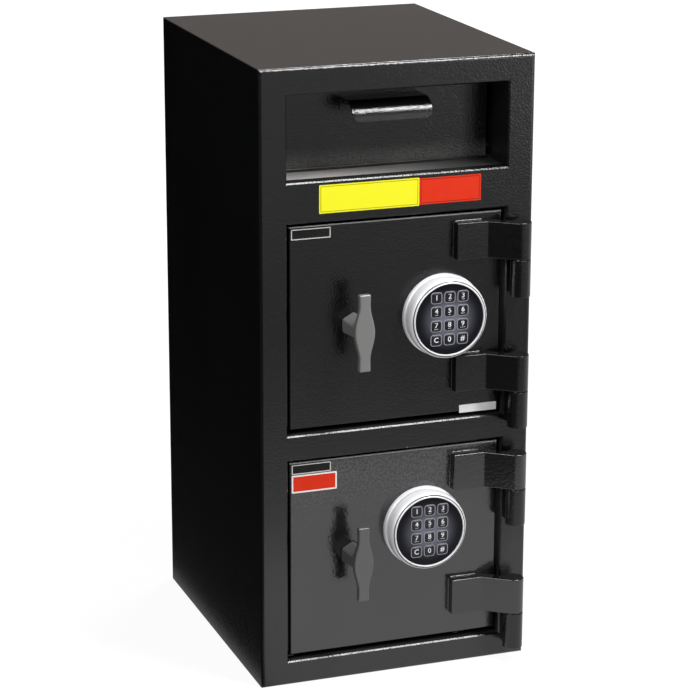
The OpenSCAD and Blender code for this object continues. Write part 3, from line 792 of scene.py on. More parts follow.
@dataclass(frozen=True)
class KeypadFacePaintedLight(Finish):
    """The keypad's face: painted light, paler towards the middle and grainy, behind the keys,
    lighter raised outlines, and painted shade in the sunk pockets.
    """

    centre: Triple = (0.0, 0.0, 0.0)
    glow: Colour = (0.2, 0.2, 0.255)
    painted_light_reach: Pair = (4.0 * MM, 41.0 * MM)
    outline: Colour = (0.34, 0.34, 0.38)
    pocket: Colour = (0.004, 0.004, 0.005)

    def wire(self, w: Wiring, shader: Any) -> None:
        """Painted light by distance from the centre, grain, outlines by height and painted shade
        in the sunk pockets.
        """
        away = tuple(-c for c in self.centre)
        local = w.node("Mapping", {"Vector": w.place(), "Location": away}).outputs[0]
        parts = w.axes(local)
        flat = w.node("CombineXYZ", {"X": parts["X"], "Z": parts["Z"]}).outputs[0]
        grain = w.noise(local, 2600.0, 1.0)
        glow = w.range(w.length(flat), *self.painted_light_reach, 1.0, 0.0)
        glow = w.times(glow, w.range(grain, 0.3, 0.7, 0.5, 1.5))
        tone = w.blend(glow, self.colour, self.glow)
        proud = w.range(parts["Y"], -0.4 * MM, -0.2 * MM, 1.0, 0.0)
        tone = w.blend(proud, tone, self.outline)
        sunk = w.range(parts["Y"], 0.3 * MM, 0.6 * MM)
        w.feed(shader, "Base Color", w.blend(sunk, tone, self.pocket))
        w.bump(shader, grain, 0.02 * MM, 0.4)


@dataclass(frozen=True)
class Foil(Finish):
    """A printed label or plate, with slight fading and a faint paper grain."""

    specular: float = 0.12
    fade: float = 0.04

    def wire(self, w: Wiring, shader: Any) -> None:
        """Fading and grain."""
        place = w.place()
        pale = tuple(c + (1 - c) * 0.35 for c in self.colour)
        faded = w.times(w.noise(place, 60.0, 3.0), self.fade)
        w.feed(shader, "Base Color", w.blend(faded, self.colour, pale))
        w.bump(shader, w.noise(place, 1200.0), 0.01 * MM, 0.3)


BLACK = (0.0042, 0.0044, 0.005)
BLACK_COAT = PowderCoat("black_powder_coat", "black_paint", BLACK, 0.14)
# Painted reflection: the frame's front turns paler towards the bottom, standing in for the floor
# it mirrors there.
FRAME_FRONT_PAINTED_REFLECTION = PaintedLightCoat(
    "frame_front_coat_painted_reflection", "black_paint", BLACK, 0.14,
    axis="Z", light_full_at=0.12, light_none_at=0.25, pale=(0.0275, 0.0258, 0.0258), speckle=0.3,
)
INNER_COAT = PowderCoat("inner_coat", "inner_paint", (0.012, 0.012, 0.013), 0.45, cell=520.0)
# Painted light: a slightly lighter copy of the black coat for the brighter lower door, with
# painted speckled sheen towards its top.
LOWER_DOOR_PAINTED_SHEEN = PaintedLightCoat(
    "lower_door_coat", "black_paint", (0.0055, 0.0055, 0.006), 0.15,
    specular=1.0, cell=300.0, depth=0.15 * MM, axis="Z", light_full_at=0.32, light_none_at=0.16,
    pale=(0.056, 0.0555, 0.059), speckle=1.0, specks_a_metre=400.0,
)
STRAP_COAT = PowderCoat(
    "lower_strap_coat", "black_paint", (0.0045, 0.0046, 0.005), 0.13,
    specular=0.85, cell=300.0, depth=0.15 * MM,
)
# Painted highlight: a pale coat on the rounding along each door's top front edge.
DOOR_EDGE_PAINTED_HIGHLIGHT = PaintedLightCoat(
    "door_edge_painted_highlight", "black_paint", (0.2, 0.2, 0.2), 0.3,
    axis="X", light_full_at=0.15, light_none_at=0.3, pale=(0.95, 0.95, 0.93), speckle=0.5,
)
# Painted light: the ledge is lighter than the black coat and paler still towards the left,
# standing in for overhead light and its reflection.
LEDGE_PAINTED_LIGHT = PaintedLightCoat(
    "ledge_painted_light", "black_paint", (0.03, 0.029, 0.028), 0.35,
    axis="X", light_full_at=-0.15, light_none_at=0.12, pale=(0.42, 0.4, 0.39), speckle=0.15,
)
# Painted light: the hopper panel turns paler, in specks, along its lowest strip, where light
# reaches under the recess's head.
HOPPER_PANEL_PAINTED_LIGHT = PaintedLightCoat(
    "hopper_panel_painted_light", "black_paint", BLACK, 0.14,
    axis="Z", light_full_at=0.655, light_none_at=0.678, pale=(0.12, 0.118, 0.112), speckle=0.9,
)
# Painted light: a lighter, duller coat on the frame's edges round the doors, standing in for the
# light the reveals catch.
JAMB_PAINTED_LIGHT = PowderCoat("jamb_painted_light", "black_paint", (0.022, 0.023, 0.025), 0.4)
GLOSS_COAT = PowderCoat(
    "glossy_pull_coat", "black_paint", (0.004, 0.004, 0.0045), 0.12, specular=0.7, cell=520.0
)
BEAD_COAT = PowderCoat(
    "bead_coat", "black_paint", (0.006, 0.006, 0.006), 0.16, specular=0.9, depth=0.3 * MM
)
# Painted shade: the hopper's pivot rod is darkened so it sinks into the shade of the gap it shows
# in.
PIVOT_ROD_PAINTED_SHADE = Metal("blued_rod", "bare_steel", (0.05, 0.05, 0.055), 0.4, dull=(0.04, 0.04, 0.045))
# Painted reflection: the keypad's chrome base and ring are mostly a pale diffuse colour with
# little metal, standing in for the bright surroundings chrome would mirror.
RING_PAINTED_REFLECTION = Metal(
    "chrome_painted_reflection", "bright_chrome", (0.93, 0.93, 0.96), 0.2,
    metallic=0.15, grain=1500.0, depth=0.002 * MM, dull=(0.9, 0.9, 0.93),
)
# Painted shade: a dark finish in the ring's two grooves, where shade falls.
RING_GROOVE_PAINTED_SHADE = Metal(
    "ring_groove", "bright_chrome", (0.05, 0.05, 0.055), 0.4,
    metallic=0.3, dull=(0.05, 0.05, 0.055),
)
CHROME = Metal(
    "polished_chrome", "bright_chrome", (0.86, 0.86, 0.89), 0.1,
    grain=1500.0, depth=0.002 * MM, dull=(0.8, 0.8, 0.83),
)
SATIN = Metal(
    "satin_casting", "satin_metal", (0.25, 0.25, 0.247), 0.38,
    metallic=0.5, dull=(0.22, 0.22, 0.22),
)
# Painted shade: a darker copy of the satin casting for the lower T-handle, which stands in less
# light.
LOWER_SATIN_PAINTED_SHADE = Metal(
    "satin_casting_painted_shade", "satin_metal", (0.125, 0.125, 0.125), 0.36,
    metallic=0.5, dull=(0.11, 0.11, 0.11),
)
ZINC = Metal("zinc_plate", "zinc_plate", (0.62, 0.6, 0.52), 0.34, dull=(0.5, 0.5, 0.42))
STEEL = Metal("bare_steel", "bare_steel", (0.42, 0.43, 0.45), 0.4, dull=(0.3, 0.29, 0.28))
KEY_CAP = Moulding("key_cap", "key_plastic", (0.014, 0.014, 0.02), 0.16, specular=0.3)
KEY_INK = Moulding("key_ink", "key_plastic", (0.85, 0.85, 0.9), 0.4)
YELLOW = Foil("yellow_label", "", (0.93, 0.9, 0.02), 0.4)
YELLOW_LINE = Foil("yellow_label_line", "", (0.42, 0.36, 0.0), 0.4)
RED = Foil("red_label", "", (0.75, 0.03, 0.005), 0.4)
RED_LINE = Foil("red_label_line", "", (0.28, 0.015, 0.008), 0.4)
WHITE = Foil("white_strip", "", (0.93, 0.93, 0.93), 0.45, specular=0.5)
PLATE = Foil("black_plate", "", (0.008, 0.008, 0.009), 0.3)
SILVER = Metal("silver_line", "", (0.72, 0.71, 0.66), 0.35, metallic=0.15, dull=(0.6, 0.6, 0.56))


def dress(node: str, finish: Finish) -> None:
    """Gives a CAD node its finish, and keeps its shape.

    Args:
        node: The CAD node.
        finish: Its finish.
    """
    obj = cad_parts[node]
    for slot in obj.material_slots:
        slot.material = finish.material()


def round_off(node: str, body: str, finish: Finish, width: float, segments: int = 2) -> Workpiece:
    """A copy of a CAD node with its arrises rounded, in the node's place.

    Args:
        node: The CAD node it stands for.
        body: The body it rides on.
        finish: Its finish.
        width: Width of the rounding.
        segments: Steps of the rounding.

    Returns:
        The new piece.
    """
    piece = Workpiece.from_nodes(f"{node}_piece", node)
    piece.take(finish)
    piece.soften(width, segments)
    piece.smooth()
    piece.paint(finish, body)
    return piece


# Labels and plates


@dataclass
class Label:
    """A blank label or plate on a flat front, with a printed line inside its edge."""

    name: str
    left: float
    right: float
    bottom: float
    top: float
    face: float
    ground: Finish
    line: Finish
    margin: float = 1.6 * MM
    line_width: float = 0.9 * MM
    thick: float = 0.15 * MM
    corner: float = 0.8 * MM

    def build(self, body: str) -> None:
        """Models the label and lays it on its body.

        Args:
            body: The body it is stuck to.
        """
        front = self.face - self.thick
        piece = Workpiece.block(
            self.name, (self.left, front, self.bottom), (self.right, self.face, self.top)
        )
        piece.take(self.ground, self.line)
        with piece.editing():
            piece.pick(Pick.FACES, faces_out)
            for inset in (self.margin, self.line_width):
                if inset:
                    bpy.ops.mesh.inset(thickness=inset)
            piece.pick(Pick.FACES, lambda f: faces_out(f) and self.in_line(f))
            piece.coat_picked(1)
            piece.pick(Pick.EDGES, lambda e: depth_of(e) > self.thick * 0.9)
            bpy.ops.mesh.bevel(offset=self.corner, segments=4, affect="EDGES")
        piece.paint(self.ground, body)

    def inset_of(self, at: Vector) -> float:
        """How far a point lies inside the label's edge."""
        return min(at.x - self.left, self.right - at.x, at.z - self.bottom, self.top - at.z)

    def in_line(self, face: Any) -> bool:
        """Whether a front face belongs to the printed line.

        Args:
            face: The face.

        Returns:
            True if it reaches from the margin to the line's inner edge.
        """
        insets = [self.inset_of(v.co) for v in face.verts]
        inner = self.margin + self.line_width
        return abs(min(insets) - self.margin) < HAIR and abs(max(insets) - inner) < HAIR


# Sub-assemblies

Pieces = list[Workpiece]
KEY_LETTERS = {
    "1": "", "2": "ABC", "3": "DEF",
    "4": "GHI", "5": "JKL", "6": "MNO",
    "7": "PQRS", "8": "TUV", "9": "WXYZ",
    "c": "", "0": "", "hash": "",
}


@dataclass
class Keypad:
    """A round keypad: base, chrome ring, face and twelve keys.

    Radii and heights above the door's face are in millimetres.
    """

    door: str
    side: float = 51.0
    well: float = 45.1
    hub: float = 10.06
    tube: float = 10.0
    bore: float = 4.3
    pin: float = 2.0
    pin_reach: float = 7.2
    key_corner: float = 2.6
    key_rim: float = 0.45
    key_dish: float = 0.18
    ink: float = 0.03

    @property
    def centre(self) -> Vector:
        """The keypad's centre on the front of its ring."""
        ring, base = f"{self.door}_dial_ring", f"{self.door}_keypad_base"
        return Vector((middle(base).x, low(ring).y, middle(ring).z))

    def build(self, keys: Pieces | None = None) -> Pieces:
        """Builds the keypad.

        Args:
            keys: The other keypad's keys, to be copied.

        Returns:
            This keypad's keys.
        """
        self.build_base()
        self.build_ring()
        self.build_face()
        return self.build_keys(keys)

    def out(self, height: float) -> float:
        """The Y place of a height above the door's face."""
        return low(f"{self.door}_door_plate").y - height * MM

    def turn(self, node: str, profile: Sequence[Pair], sides: int) -> Workpiece:
        """Turns a piece about the keypad's axis, in a CAD node's place.

        Args:
            node: The CAD node it stands for.
            profile: Radius and height above the door of each corner of its outline.
            sides: Sides of the round.

        Returns:
            The new piece.
        """
        outline = [(r * MM, self.out(h)) for r, h in profile]
        piece = Workpiece.turned(f"{node}_piece", self.centre, outline, sides)
        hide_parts(node)
        return piece

    def build_base(self) -> None:
        """The fixed base: a plain disc with a rounded shoulder."""
        node = f"{self.door}_keypad_base"
        radius = (high(node).x - low(node).x) / 2 / MM
        shoulder = ((0.0, 4.4), (0.25, 5.3), (0.9, 6.0), (1.9, 6.4), (3.0, 6.5))
        profile = [(self.hub, 0.0), (radius, 0.0)]
        profile += [(radius - inset, height) for inset, height in shoulder]
        profile += [(self.hub, 6.5)]
        piece = self.turn(node, profile, 96)
        piece.smooth()
        piece.paint(RING_PAINTED_REFLECTION, f"{self.door}_door")

    def build_ring(self) -> None:
        """The turning ring, with its hub tube through the door and its drive pin."""
        node, plate = f"{self.door}_dial_ring", f"{self.door}_door_plate"
        s, w = self.side, self.well
        end = (low(plate).y - high(plate).y) / MM - 6
        skirt = [
            (47.2, 6.75), (47.5, 7.1), (47.5, 9.2), (49.6, 9.3), (50.4, 9.5), (50.8, 9.9),
            (s, 10.5), (s, 18.6), (s - 0.1, 20.6), (s - 0.45, 22.4), (s - 1.0, 23.7),
            (s - 1.6, 24.6), (s - 2.2, 25.2), (s - 2.6, 25.4),
        ]
        bezel = [
            (s - 2.7, 23.8), (s - 3.6, 23.8), (s - 3.7, 26.0), (s - 4.1, 26.7), (s - 4.6, 27.0),
            (w + 0.7, 27.0), (w + 0.25, 26.8), (w, 26.3), (w, 9.75),
        ]
        tube = [(self.tube, end), (self.tube, 6.75)]
        bore = [(self.bore, 9.75), (self.bore, end)]
        piece = self.turn(node, tube + skirt + bezel + bore, 128)
        aside = self.pin_reach * MM * math.sqrt(0.5)
        start = Vector((self.centre.x - aside, self.out(end) - 1 * MM, self.centre.z + aside))
        pin = Workpiece.rod("drive_pin", self.pin * MM, start, high(node).y, 24)
        pin.soften(0.4 * MM)
        piece.join(pin)
        piece.smooth()
        piece.paint(RING_PAINTED_REFLECTION, f"{self.door}_dial")
        # Painted shade in the ring's two grooves.
        piece.second_coat(RING_GROOVE_PAINTED_SHADE, self.groove_test())

    def groove_test(self) -> Callable[[Any], bool]:
        """A test that says of a face of the ring whether it lies in one of its two grooves.

        Returns:
            The test.
        """
        axis, foot, side = self.centre, self.out(0), self.side

        def in_groove(face: Any) -> bool:
            """Whether a face lies in the skirt's groove or the bezel's."""
            at = face.calc_center_median()
            radius = math.hypot(at.x - axis.x, at.z - axis.z) / MM
            height = (foot - at.y) / MM
            in_skirt = 45 < radius < side - 1.6 and 6.9 < height < 9.29
            in_bezel = side - 3.69 < radius < side - 2.61 and 23 < height < 25.39
            return in_skirt or in_bezel

        return in_groove

    def build_face(self) -> None:
        """The face, with painted light, painted shade in the pockets and the outlines of its keys.
        """
        node = f"{self.door}_keypad_face"
        centre = (self.centre.x, low(node).y + 0.6 * MM, self.centre.z)
        # Painted light on the face, and painted shade in its pockets.
        finish = KeypadFacePaintedLight(
            f"{self.door}_keypad_print", "face_plastic", (0.006, 0.006, 0.009), 0.3,
            specular=0.12, centre=centre,
        )
        round_off(node, f"{self.door}_door", finish, 0.18 * MM)

    def build_keys(self, keys: Pieces | None) -> Pieces:
        """The twelve keys, modelled once and copied for the other keypad.

        Args:
            keys: The other keypad's keys, or None.

        Returns:
            This keypad's keys.
        """
        made = []
        for i, key in enumerate(KEY_LETTERS):
            node = f"{self.door}_key_{key}"
            name = f"{node}_cap"
            if keys:
                move = middle(node) - middle(keys[i].obj.name.replace("_cap", ""))
                piece = Workpiece.copied(name, keys[i].obj, move)
            else:
                piece = self.build_cap(name, node)
                piece.join(*self.build_marks(key, node))
            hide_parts(node)
            piece.paint(KEY_CAP, node)
            made.append(piece)
        return made

    def build_cap(self, name: str, node: str) -> Workpiece:
        """One cap, rounded and slightly dished.

        Args:
            name: The cap's name.
            node: The CAD node it stands for.

        Returns:
            The cap, with two materials.
        """
        piece = Workpiece.block(name, low(node), high(node))
        piece.take(KEY_CAP, KEY_INK)
        front = low(node).y

        def on_rim(corner: Any) -> bool:
            """Whether a corner lies on the outer edge of the cap's front."""
            beside = any(face.normal.y > -0.5 for face in corner.link_faces)
            return abs(corner.co.y - front) < HAIR and beside

        with piece.editing():
            piece.pick(Pick.EDGES, lambda e: depth_of(e) > 3 * MM)
            bpy.ops.mesh.bevel(offset=self.key_corner * MM, segments=6, affect="EDGES")
            piece.pick(Pick.FACES, faces_out)
            bpy.ops.mesh.inset(thickness=self.key_rim * MM)
            piece.pick(Pick.CORNERS, on_rim)
            bpy.ops.transform.translate(value=(0, self.key_rim * MM, 0))
            piece.pick(Pick.FACES, lambda f: f.normal.y < -0.99)
            bpy.ops.mesh.inset(thickness=0.9 * MM)
            bpy.ops.mesh.inset(thickness=0.8 * MM)
            bpy.ops.transform.translate(value=(0, self.key_dish * MM, 0))
        piece.soften(0.15 * MM, 2, 25)
        piece.smooth()
        return piece

    def build_marks(self, key: str, node: str) -> Pieces:
        """The printed digit of a key and the small letters under it.

        Args:
            key: The key's name.
            node: Its CAD node.

        Returns:
            The marks as thin meshes in white ink.
        """
        letters = KEY_LETTERS[key]
        glyph = {"c": "C", "hash": "#"}.get(key, key)
        marks = [(glyph, 9.2, 1.1 if letters else 0.2, 0.11)]
        if letters:
            marks.append((letters, 2.3, -4.1, 0.02))
        made = []
        mid = middle(node)
        for text, size, rise, bold in marks:
            clear_bench()
            bpy.ops.object.text_add(
                location=(mid.x, low(node).y + 0.17 * MM, mid.z + rise * MM),
                rotation=(QUARTER, 0, 0),
            )
            letter = bpy.context.object.data
            letter.body = text
            letter.size, letter.offset, letter.extrude = size * MM, bold * MM, self.ink * MM
            letter.align_x, letter.align_y = "CENTER", "CENTER"
            letter.resolution_u = 3
            bpy.ops.object.convert(target="MESH")
            mark = Workpiece(f"{node}_{text}")
            mark.take(KEY_CAP, KEY_INK)
            for face in mark.obj.data.polygons:
                face.material_index = 1
            made.append(mark)
        return made


@dataclass
class THandle:
    """A cast T-handle: a waisted bar on a six-sided stem, with its spindle."""

    door: str
    finish: Metal
    mid_width: float = 26.0 * MM
    end_width: float = 14.2 * MM
    thick: float = 8.3 * MM
    belly: float = 0.66
    bar_round: float = 2.3 * MM
    foot: float = 16.3 * MM
    neck: float = 12.0 * MM
    stem_round: float = 2.2 * MM
    spindle: float = 6.0 * MM
    steps: int = 28

    def half_width(self, s: float) -> float:
        """Half the bar's width at s, from -1 at its lower end to 1 at its upper end.

        Args:
            s: The place along the bar.

        Returns:
            Half the width.
        """
        wide = 0.0
        if abs(s) < self.belly:
            swell = math.cos(QUARTER * abs(s) / self.belly) ** 1.6
            wide = (self.mid_width - self.end_width) / 2 * swell
        return self.end_width / 2 + wide + 0.5 * MM * abs(s) ** 8

    def build(self) -> None:
        """Builds the handle and hangs it on its body."""
        node = f"{self.door}_t_handle"
        lo, hi = low(node), high(node)
        mid = (lo + hi) / 2
        foot_y = low(f"{self.door}_door_plate").y - 0.25 * MM
        neck_y = lo.y + self.thick - 1.5 * MM
        bar = self.build_bar(f"{node}_piece", lo, hi)
        clear_bench()
        bpy.ops.mesh.primitive_cone_add(
            vertices=6,
            radius1=self.foot,
            radius2=self.neck,
            depth=foot_y - neck_y,
            location=(mid.x, (foot_y + neck_y) / 2, mid.z),
            rotation=(QUARTER, 0, 0),
        )
        stem = Workpiece("stem")
        stem.soften(self.stem_round, 4)
        start = Vector((mid.x, foot_y - 3 * MM, mid.z))
        spindle = Workpiece.rod("spindle", self.spindle, start, hi.y, 48)
        spindle.soften(0.5 * MM)
        stem.unite(spindle)
        bar.unite(stem)
        bar.smooth(38)
        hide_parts(node)
        bar.paint(self.finish, f"{self.door}_handle")

    def build_bar(self, name: str, lo: Vector, hi: Vector) -> Workpiece:
        """The waisted bar, drawn up between the node's ends and rounded.

        Args:
            name: The bar's name.
            lo: The node's lowest corner.
            hi: The node's highest corner.

        Returns:
            The bar.
        """
        half = (hi.z - lo.z) / 2
        sections = []
        for i in range(self.steps + 1):
            s = 2 * i / self.steps - 1
            sections.append((2 * self.half_width(s), self.thick, half * (1 + s)))
        foot = Vector(((lo.x + hi.x) / 2, lo.y + self.thick / 2, lo.z))
        bar = Workpiece.drawn_up(name, foot, sections)
        with bar.editing():
            bar.pick_arrises(50)
            bpy.ops.mesh.bevel(
                offset=self.bar_round, segments=4, profile=0.6, affect="EDGES", clamp_overlap=True
            )
        return bar


@dataclass
class WeldBead:
    """A rippled weld bead along Z, drawn up ring by ring."""

    width: float = 3.2 * MM
    pitch: float = 1.5 * MM
    crest: float = 0.5
    dip: float = 0.43
    tip: float = 0.3

    def build(self, name: str, start: Vector, length: float, across: bool = False) -> Workpiece:
        """Models one bead.

        Args:
            name: The bead's name.
            start: Its lower or left end, on the corner that it fills.
            length: Its length.
            across: Whether it runs along X and not along Z.

        Returns:
            The bead.
        """
        rings = 2 * max(4, round(length / self.pitch))
        step = length / rings
        size = self.width * self.tip
        clear_bench()
        bpy.ops.mesh.primitive_circle_add(
            vertices=8, radius=size, fill_type="NGON", location=start
        )
        piece = Workpiece(name)
        with piece.editing():
            pick_all()
            for i in range(1, rings + 1):
                share = self.tip if i == rings else self.crest if i % 2 else self.dip
                grow = self.width * share / size
                about = (start.x, start.y, start.z + step * i)
                draw_on((0, 0, step), (grow, grow, 1), about)
                size = self.width * share
            turn_outwards()
        if across:
            there = Matrix.Translation(start)
            piece.obj.matrix_world = (
                there @ Matrix.Rotation(QUARTER, 4, "Y") @ there.inverted()
            )
            piece = Workpiece(name, piece.obj)
        piece.smooth(60, weigh=False)
        return piece


@dataclass
class Door:
    """One of the two doors with its hinges, boltwork, handle, keypad and weld beads."""

    name: str
    handle: Metal
    coat: PowderCoat
    strap_coat: PowderCoat
    strap_height: float = 46.5 * MM
    strap_flat: float = 36.0 * MM

    def build(self, keys: Pieces | None = None) -> Pieces:
        """Dresses the door.

        Args:
            keys: The other door's keys, to be copied.

        Returns:
            This door's keys.
        """
        door, bolts = f"{self.name}_door", f"{self.name}_bolts"
        self.build_plate()
        for part, body, finish, width, segments in (
            ("hinge_straps", door, self.strap_coat, 1.2, 3),
            ("pintles", "body", BLACK_COAT, 1.3, 3),
            ("bolt_frame", door, STEEL, 0.4, 2),
            ("lock_case", door, ZINC, 0.5, 2),
            ("handle_crank", f"{self.name}_handle", STEEL, 0.3, 2),
            ("bolt_carriage", bolts, ZINC, 0.4, 2),
            ("locking_bolts", bolts, CHROME, 0.3, 2),
            ("lock_bolt", f"{self.name}_lock", STEEL, 0.3, 2),
        ):
            round_off(f"{self.name}_{part}", body, finish, width * MM, segments)
        THandle(self.name, self.handle).build()
        self.weld()
        return Keypad(self.name).build(keys)

    def build_plate(self) -> None:
        """The door's plate, with a painted highlight along the front of its top edge."""
        node = f"{self.name}_door_plate"
        plate = round_off(node, f"{self.name}_door", self.coat, 1.0 * MM, 3)
        edge = high(node).z - 1.2 * MM

        def on_painted_highlight(face: Any) -> bool:
            """Whether a face belongs to the rounding between the front and the top."""
            slopes = face.normal.y < -0.2 and face.normal.z > 0.15
            return slopes and face.calc_center_median().z > edge

        # Painted highlight on the rounding between the front and the top.
        plate.second_coat(DOOR_EDGE_PAINTED_HIGHLIGHT, on_painted_highlight)

    def weld(self) -> None:
        """Beads round the flat part of each strap, where it is welded to the door."""
        node = f"{self.name}_hinge_straps"
        left, face = low(node).x, low(f"{self.name}_door_plate").y
        for which, bottom in (("low", low(node).z), ("high", high(node).z - self.strap_height)):
            name = f"{self.name}_{which}_strap_bead"
            foot = Vector((left, face, bottom + 1 * MM))
            beads = [WeldBead().build(f"{name}_side", foot, self.strap_height - 2 * MM)]
            for end, z in (("top", bottom + self.strap_height), ("bottom", bottom)):
                start = Vector((left + 1 * MM, face, z))
                beads.append(WeldBead().build(f"{name}_{end}", start, self.strap_flat, True))
            for bead in beads:
                bead.paint(BEAD_COAT, f"{self.name}_door")


@dataclass
class SafeBody:
    """The fixed body, the hopper, and the labels and plates on the front."""

    opening_half: float = 145.0 * MM
    opening_top: float = 600.0 * MM
    sill_drop: float = 139.0 * MM

    def build(self) -> None:
        """Dresses the body and the hopper."""
        self.build_shell()
        sill = high("front_frame").z - self.sill_drop

        def on_ledge(face: Any) -> bool:
            """Whether a face belongs to the ledge in front of the hopper."""
            height = face.calc_center_median().z - sill
            return face.normal.z > 0.5 and -1 * MM < height < 5 * MM

        housing = round_off("hopper_housing", "body", BLACK_COAT, 0.3 * MM)
        # Painted light on the ledge in front of the hopper.
        housing.second_coat(LEDGE_PAINTED_LIGHT, on_ledge)
        dress("divider_shelf", INNER_COAT)
        # The panel carries painted light along its lowest strip.
        round_off("hopper_panel", "hopper", HOPPER_PANEL_PAINTED_LIGHT, 0.3 * MM)
        round_off("hopper_bucket", "hopper", INNER_COAT, 0.3 * MM)
        round_off("hopper_pull", "hopper", GLOSS_COAT, 0.6 * MM, 3)
        # The pivot rod takes painted shade.
        dress("hopper_pivot_rod", PIVOT_ROD_PAINTED_SHADE)

    def build_shell(self) -> None:
        """The shell and the front frame as one welded body."""
        front = low("front_frame").y

        def on_front(face: Any) -> bool:
            """Whether a face belongs to the front of the frame."""
            return faces_out(face) and face.calc_center_median().y < front + 1 * MM

        def on_jamb(face: Any) -> bool:
            """Whether a face belongs to the frame's edge round a door."""
            at = face.calc_center_median()
            behind = abs(face.normal.y) < 0.3 and 2 * MM < at.y - front < 20 * MM
            return behind and abs(at.x) < self.opening_half and at.z < self.opening_top

        shell = Workpiece.from_nodes("safe_body", "body_shell", "front_frame")
        shell.take(BLACK_COAT)
        shell.soften(0.35 * MM, 2, 24)
        shell.smooth(30)
        shell.paint(BLACK_COAT, "body")
        # Painted reflection of the floor, paler towards the bottom of the frame's front.
        shell.second_coat(FRAME_FRONT_PAINTED_REFLECTION, on_front)
        # Painted light on the jambs round the doors.
        shell.second_coat(JAMB_PAINTED_LIGHT, on_jamb)

    def labels(self) -> None:
        """The blank stickers, the small plates and the white strip."""
        frame_face, door_face = low("front_frame").y, low("upper_door_plate").y
        sticker: dict[str, float] = {}
        plate = {"margin": 0.0, "line_width": 1.2 * MM, "thick": 0.5 * MM, "corner": 0.5 * MM}
        rimmed = {"margin": 0.0, "line_width": 1.9 * MM, "corner": 0.6 * MM}
        for name, body, sides, ground, line, form in (
            ("yellow_sticker", "body", (-102.3, 26.7, 608, 643), YELLOW, YELLOW_LINE, sticker),
            ("red_sticker", "body", (26.9, 107.8, 609, 642), RED, RED_LINE, sticker),
            (
                "upper_small_plate", "upper_door", (-136.2, -85.7, 576.4, 589.5),
                PLATE, SILVER, plate,
            ),
            (
                "lower_small_plate", "lower_door", (-136.2, -85.0, 278, 290.4),
                PLATE, SILVER, plate,
            ),
            ("lower_red_sticker", "lower_door", (-136.2, -77, 253.5, 276.6), RED, WHITE, rimmed),
            (
                "serial_strip", "upper_door", (86, 136.2, 334.7, 345.1),
                WHITE, WHITE, {"line_width": 0.4 * MM},
            ),
        ):
            face = frame_face if body == "body" else door_face
            edges = [side * MM for side in sides]
            Label(name, *edges, face, ground, line, **form).build(body)


@dataclass(frozen=True)
class Lamp:
    """A soft lamp, square unless it has a height of its own."""

    name: str
    at: Triple
    aim: Triple
    size: float
    power: float
    tall: float | None = None

    def hang(self) -> None:
        """Puts the lamp in its place, turned to what it lights."""
        data = bpy.data.lights.new(self.name, "AREA")
        data.shape, data.energy = "RECTANGLE", self.power
        data.size, data.size_y = self.size, self.tall or self.size
        obj = bpy.data.objects.new(self.name, data)
        obj.location = self.at
        way = Vector(self.aim) - Vector(self.at)
        obj.rotation_euler = way.to_track_quat("-Z", "Y").to_euler()
        bpy.context.scene.collection.objects.link(obj)


LAMPS = (
    Lamp("high_softbox", (0.81, -1.135, 2.83), (0.0, -0.17, 0.7), 0.65, 87.0, 1.64),
    Lamp("low_softbox", (2.0, -2.4, 0.8), (0.0, -0.1, 0.35), 1.3, 12.5),
    Lamp("left_softbox", (-1.9, -1.5, 2.0), (0.0, -0.2, 0.45), 0.9, 29.0),
    Lamp("rear_softbox", (0.7, 1.0, 2.3), (0.0, -0.1, 0.7), 0.5, 14.0),
)


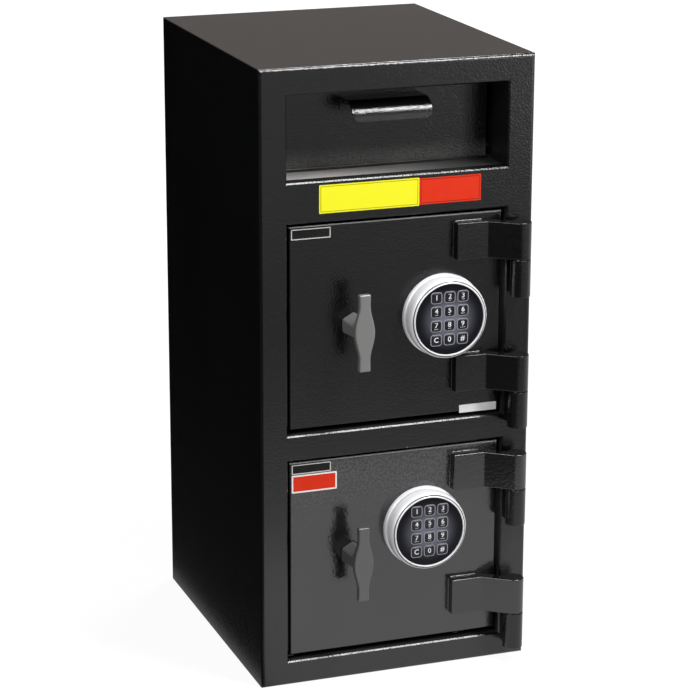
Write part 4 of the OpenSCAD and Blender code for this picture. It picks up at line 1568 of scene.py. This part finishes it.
@dataclass
class Studio:
    """Floor, soft light and the camera at the photograph's angle."""

    azimuth: float = -20.04
    elevation: float = 16.54
    roll: float = 0.19
    lens: float = 134.53
    camera_at: Triple = (-1.1151, -3.0893, 1.3459)
    fill: float = 0.2
    floor_side: float = 14.0
    floor_seen: float = 0.82

    def build(self) -> None:
        """Sets up the floor, the world, the lamps and the camera."""
        bpy.context.scene.view_settings.view_transform = "Standard"
        self.build_floor()
        self.build_world()
        for lamp in LAMPS:
            lamp.hang()
        self.build_camera()

    def build_floor(self) -> None:
        """A pale floor that keeps the shadow and shows white to the camera and in the metal."""
        floor = Workpiece.plate("floor", (0, 0, 0), self.floor_side, self.floor_side)
        with floor.editing():
            pick_all()
            bpy.ops.mesh.subdivide(number_cuts=3)
        made = bpy.data.materials.new("pale_floor")
        made.use_nodes = True
        w = Wiring(made.node_tree)
        paths = w.node("LightPath").outputs
        x, y = w.axes(w.place())[:2]
        # What the paint mirrors: brightest just before the safe, dim at its left.
        near = w.plus(w.range(y, -1.6, -0.6, 0.3, 0.97), w.range(y, -2.8, -1.6, 0.3, 0.0))
        beside = w.times(w.range(x, -0.2, -0.15, 0.982, 0.0), w.range(y, -0.32, -0.18))
        mirrored = w.times(near, w.math("SUBTRACT", 1.0, beside))
        mirrored = w.times(mirrored, w.range(x, -0.5, -0.05, 0.08, 1.0))
        white = w.range(w.length(w.place()), 0.9, 2.2, 1.12, 1.3)
        level = w.times(paths["Is Glossy Ray"], w.math("SUBTRACT", mirrored, white))
        level = w.plus(level, white)
        seen = w.plus(w.times(paths["Is Camera Ray"], self.floor_seen), paths["Is Glossy Ray"])
        seen = w.math("ADD", seen, paths["Is Transmission Ray"], clamp=True)
        pale = w.blend(paths["Is Camera Ray"], (0.35, 0.35, 0.35), (0.8, 0.8, 0.8))
        plain = w.node("BsdfDiffuse", {"Color": pale}).outputs[0]
        glow = {"Color": (1.0, 1.0, 1.0, 1.0), "Strength": level}
        lit = w.node("Emission", glow).outputs[0]
        mixed = w.node("MixShader", {0: seen, 1: plain, 2: lit}).outputs[0]
        w.node("OutputMaterial", {"Surface": mixed})
        floor.obj.data.materials.append(made)

    def build_world(self) -> None:
        """A white surround for the camera and for the metal, dimmer behind, and a soft fill."""
        world = bpy.data.worlds.new("studio")
        bpy.context.scene.world = world
        world.use_nodes = True
        w = Wiring(world.node_tree)
        paths = w.node("LightPath").outputs
        x, y, z = w.axes(w.node("TexCoord").outputs["Generated"])
        # What the metal mirrors: dim behind, at the left and high up.
        left = w.times(w.range(x, -0.35, 0.05, 1.0, 0.0), w.range(y, -0.3, 0.3))
        gloss = w.times(w.range(y, -0.1, 0.7, 0.72, 0.235), w.math("SUBTRACT", 1.0, left))
        gloss = w.times(gloss, w.range(z, 0.35, 0.6, 1.0, 0.1))
        strength = w.times(paths["Is Glossy Ray"], w.math("SUBTRACT", gloss, self.fill))
        strength = w.plus(strength, self.fill)
        seen = w.math("ADD", paths["Is Camera Ray"], paths["Is Transmission Ray"], clamp=True)
        strength = w.plus(strength, w.times(seen, 1 - self.fill))
        behind = w.times(paths["Is Glossy Ray"], w.range(y, 0.3, 0.8))
        tint = w.blend(behind, (1.0, 1.0, 1.0), (1.0, 0.906, 0.861))
        back = w.node("Background", {"Color": tint, "Strength": strength}).outputs[0]
        w.node("OutputWorld", {"Surface": back})

    def build_camera(self) -> None:
        """The camera, where the photograph was taken from."""
        data = bpy.data.cameras.new("camera")
        data.lens, data.sensor_width = self.lens, 36.0
        camera = bpy.data.objects.new("camera", data)
        a, e = math.radians(self.azimuth), math.radians(self.elevation)
        ahead = Vector((-math.sin(a) * math.cos(e), math.cos(a) * math.cos(e), -math.sin(e)))
        turn = ahead.to_track_quat("-Z", "Y") @ Quaternion((0, 0, 1), math.radians(self.roll))
        camera.location = self.camera_at
        camera.rotation_mode = "QUATERNION"
        camera.rotation_quaternion = turn
        bpy.context.scene.collection.objects.link(camera)
        bpy.context.scene.camera = camera


def main() -> None:
    """Builds the safe's looks in order."""
    logging.basicConfig(level=logging.INFO, format="%(name)s: %(message)s")
    Studio().build()
    body = SafeBody()
    body.build()
    keys = Door("upper", SATIN, BLACK_COAT, BLACK_COAT).build()
    # The lower door and its handle take the copies with painted sheen and painted shade.
    Door("lower", LOWER_SATIN_PAINTED_SHADE, LOWER_DOOR_PAINTED_SHEEN, STRAP_COAT).build(keys)
    body.labels()
    clear_bench()
    bpy.context.view_layer.update()


if __name__ == "__main__":
    main()
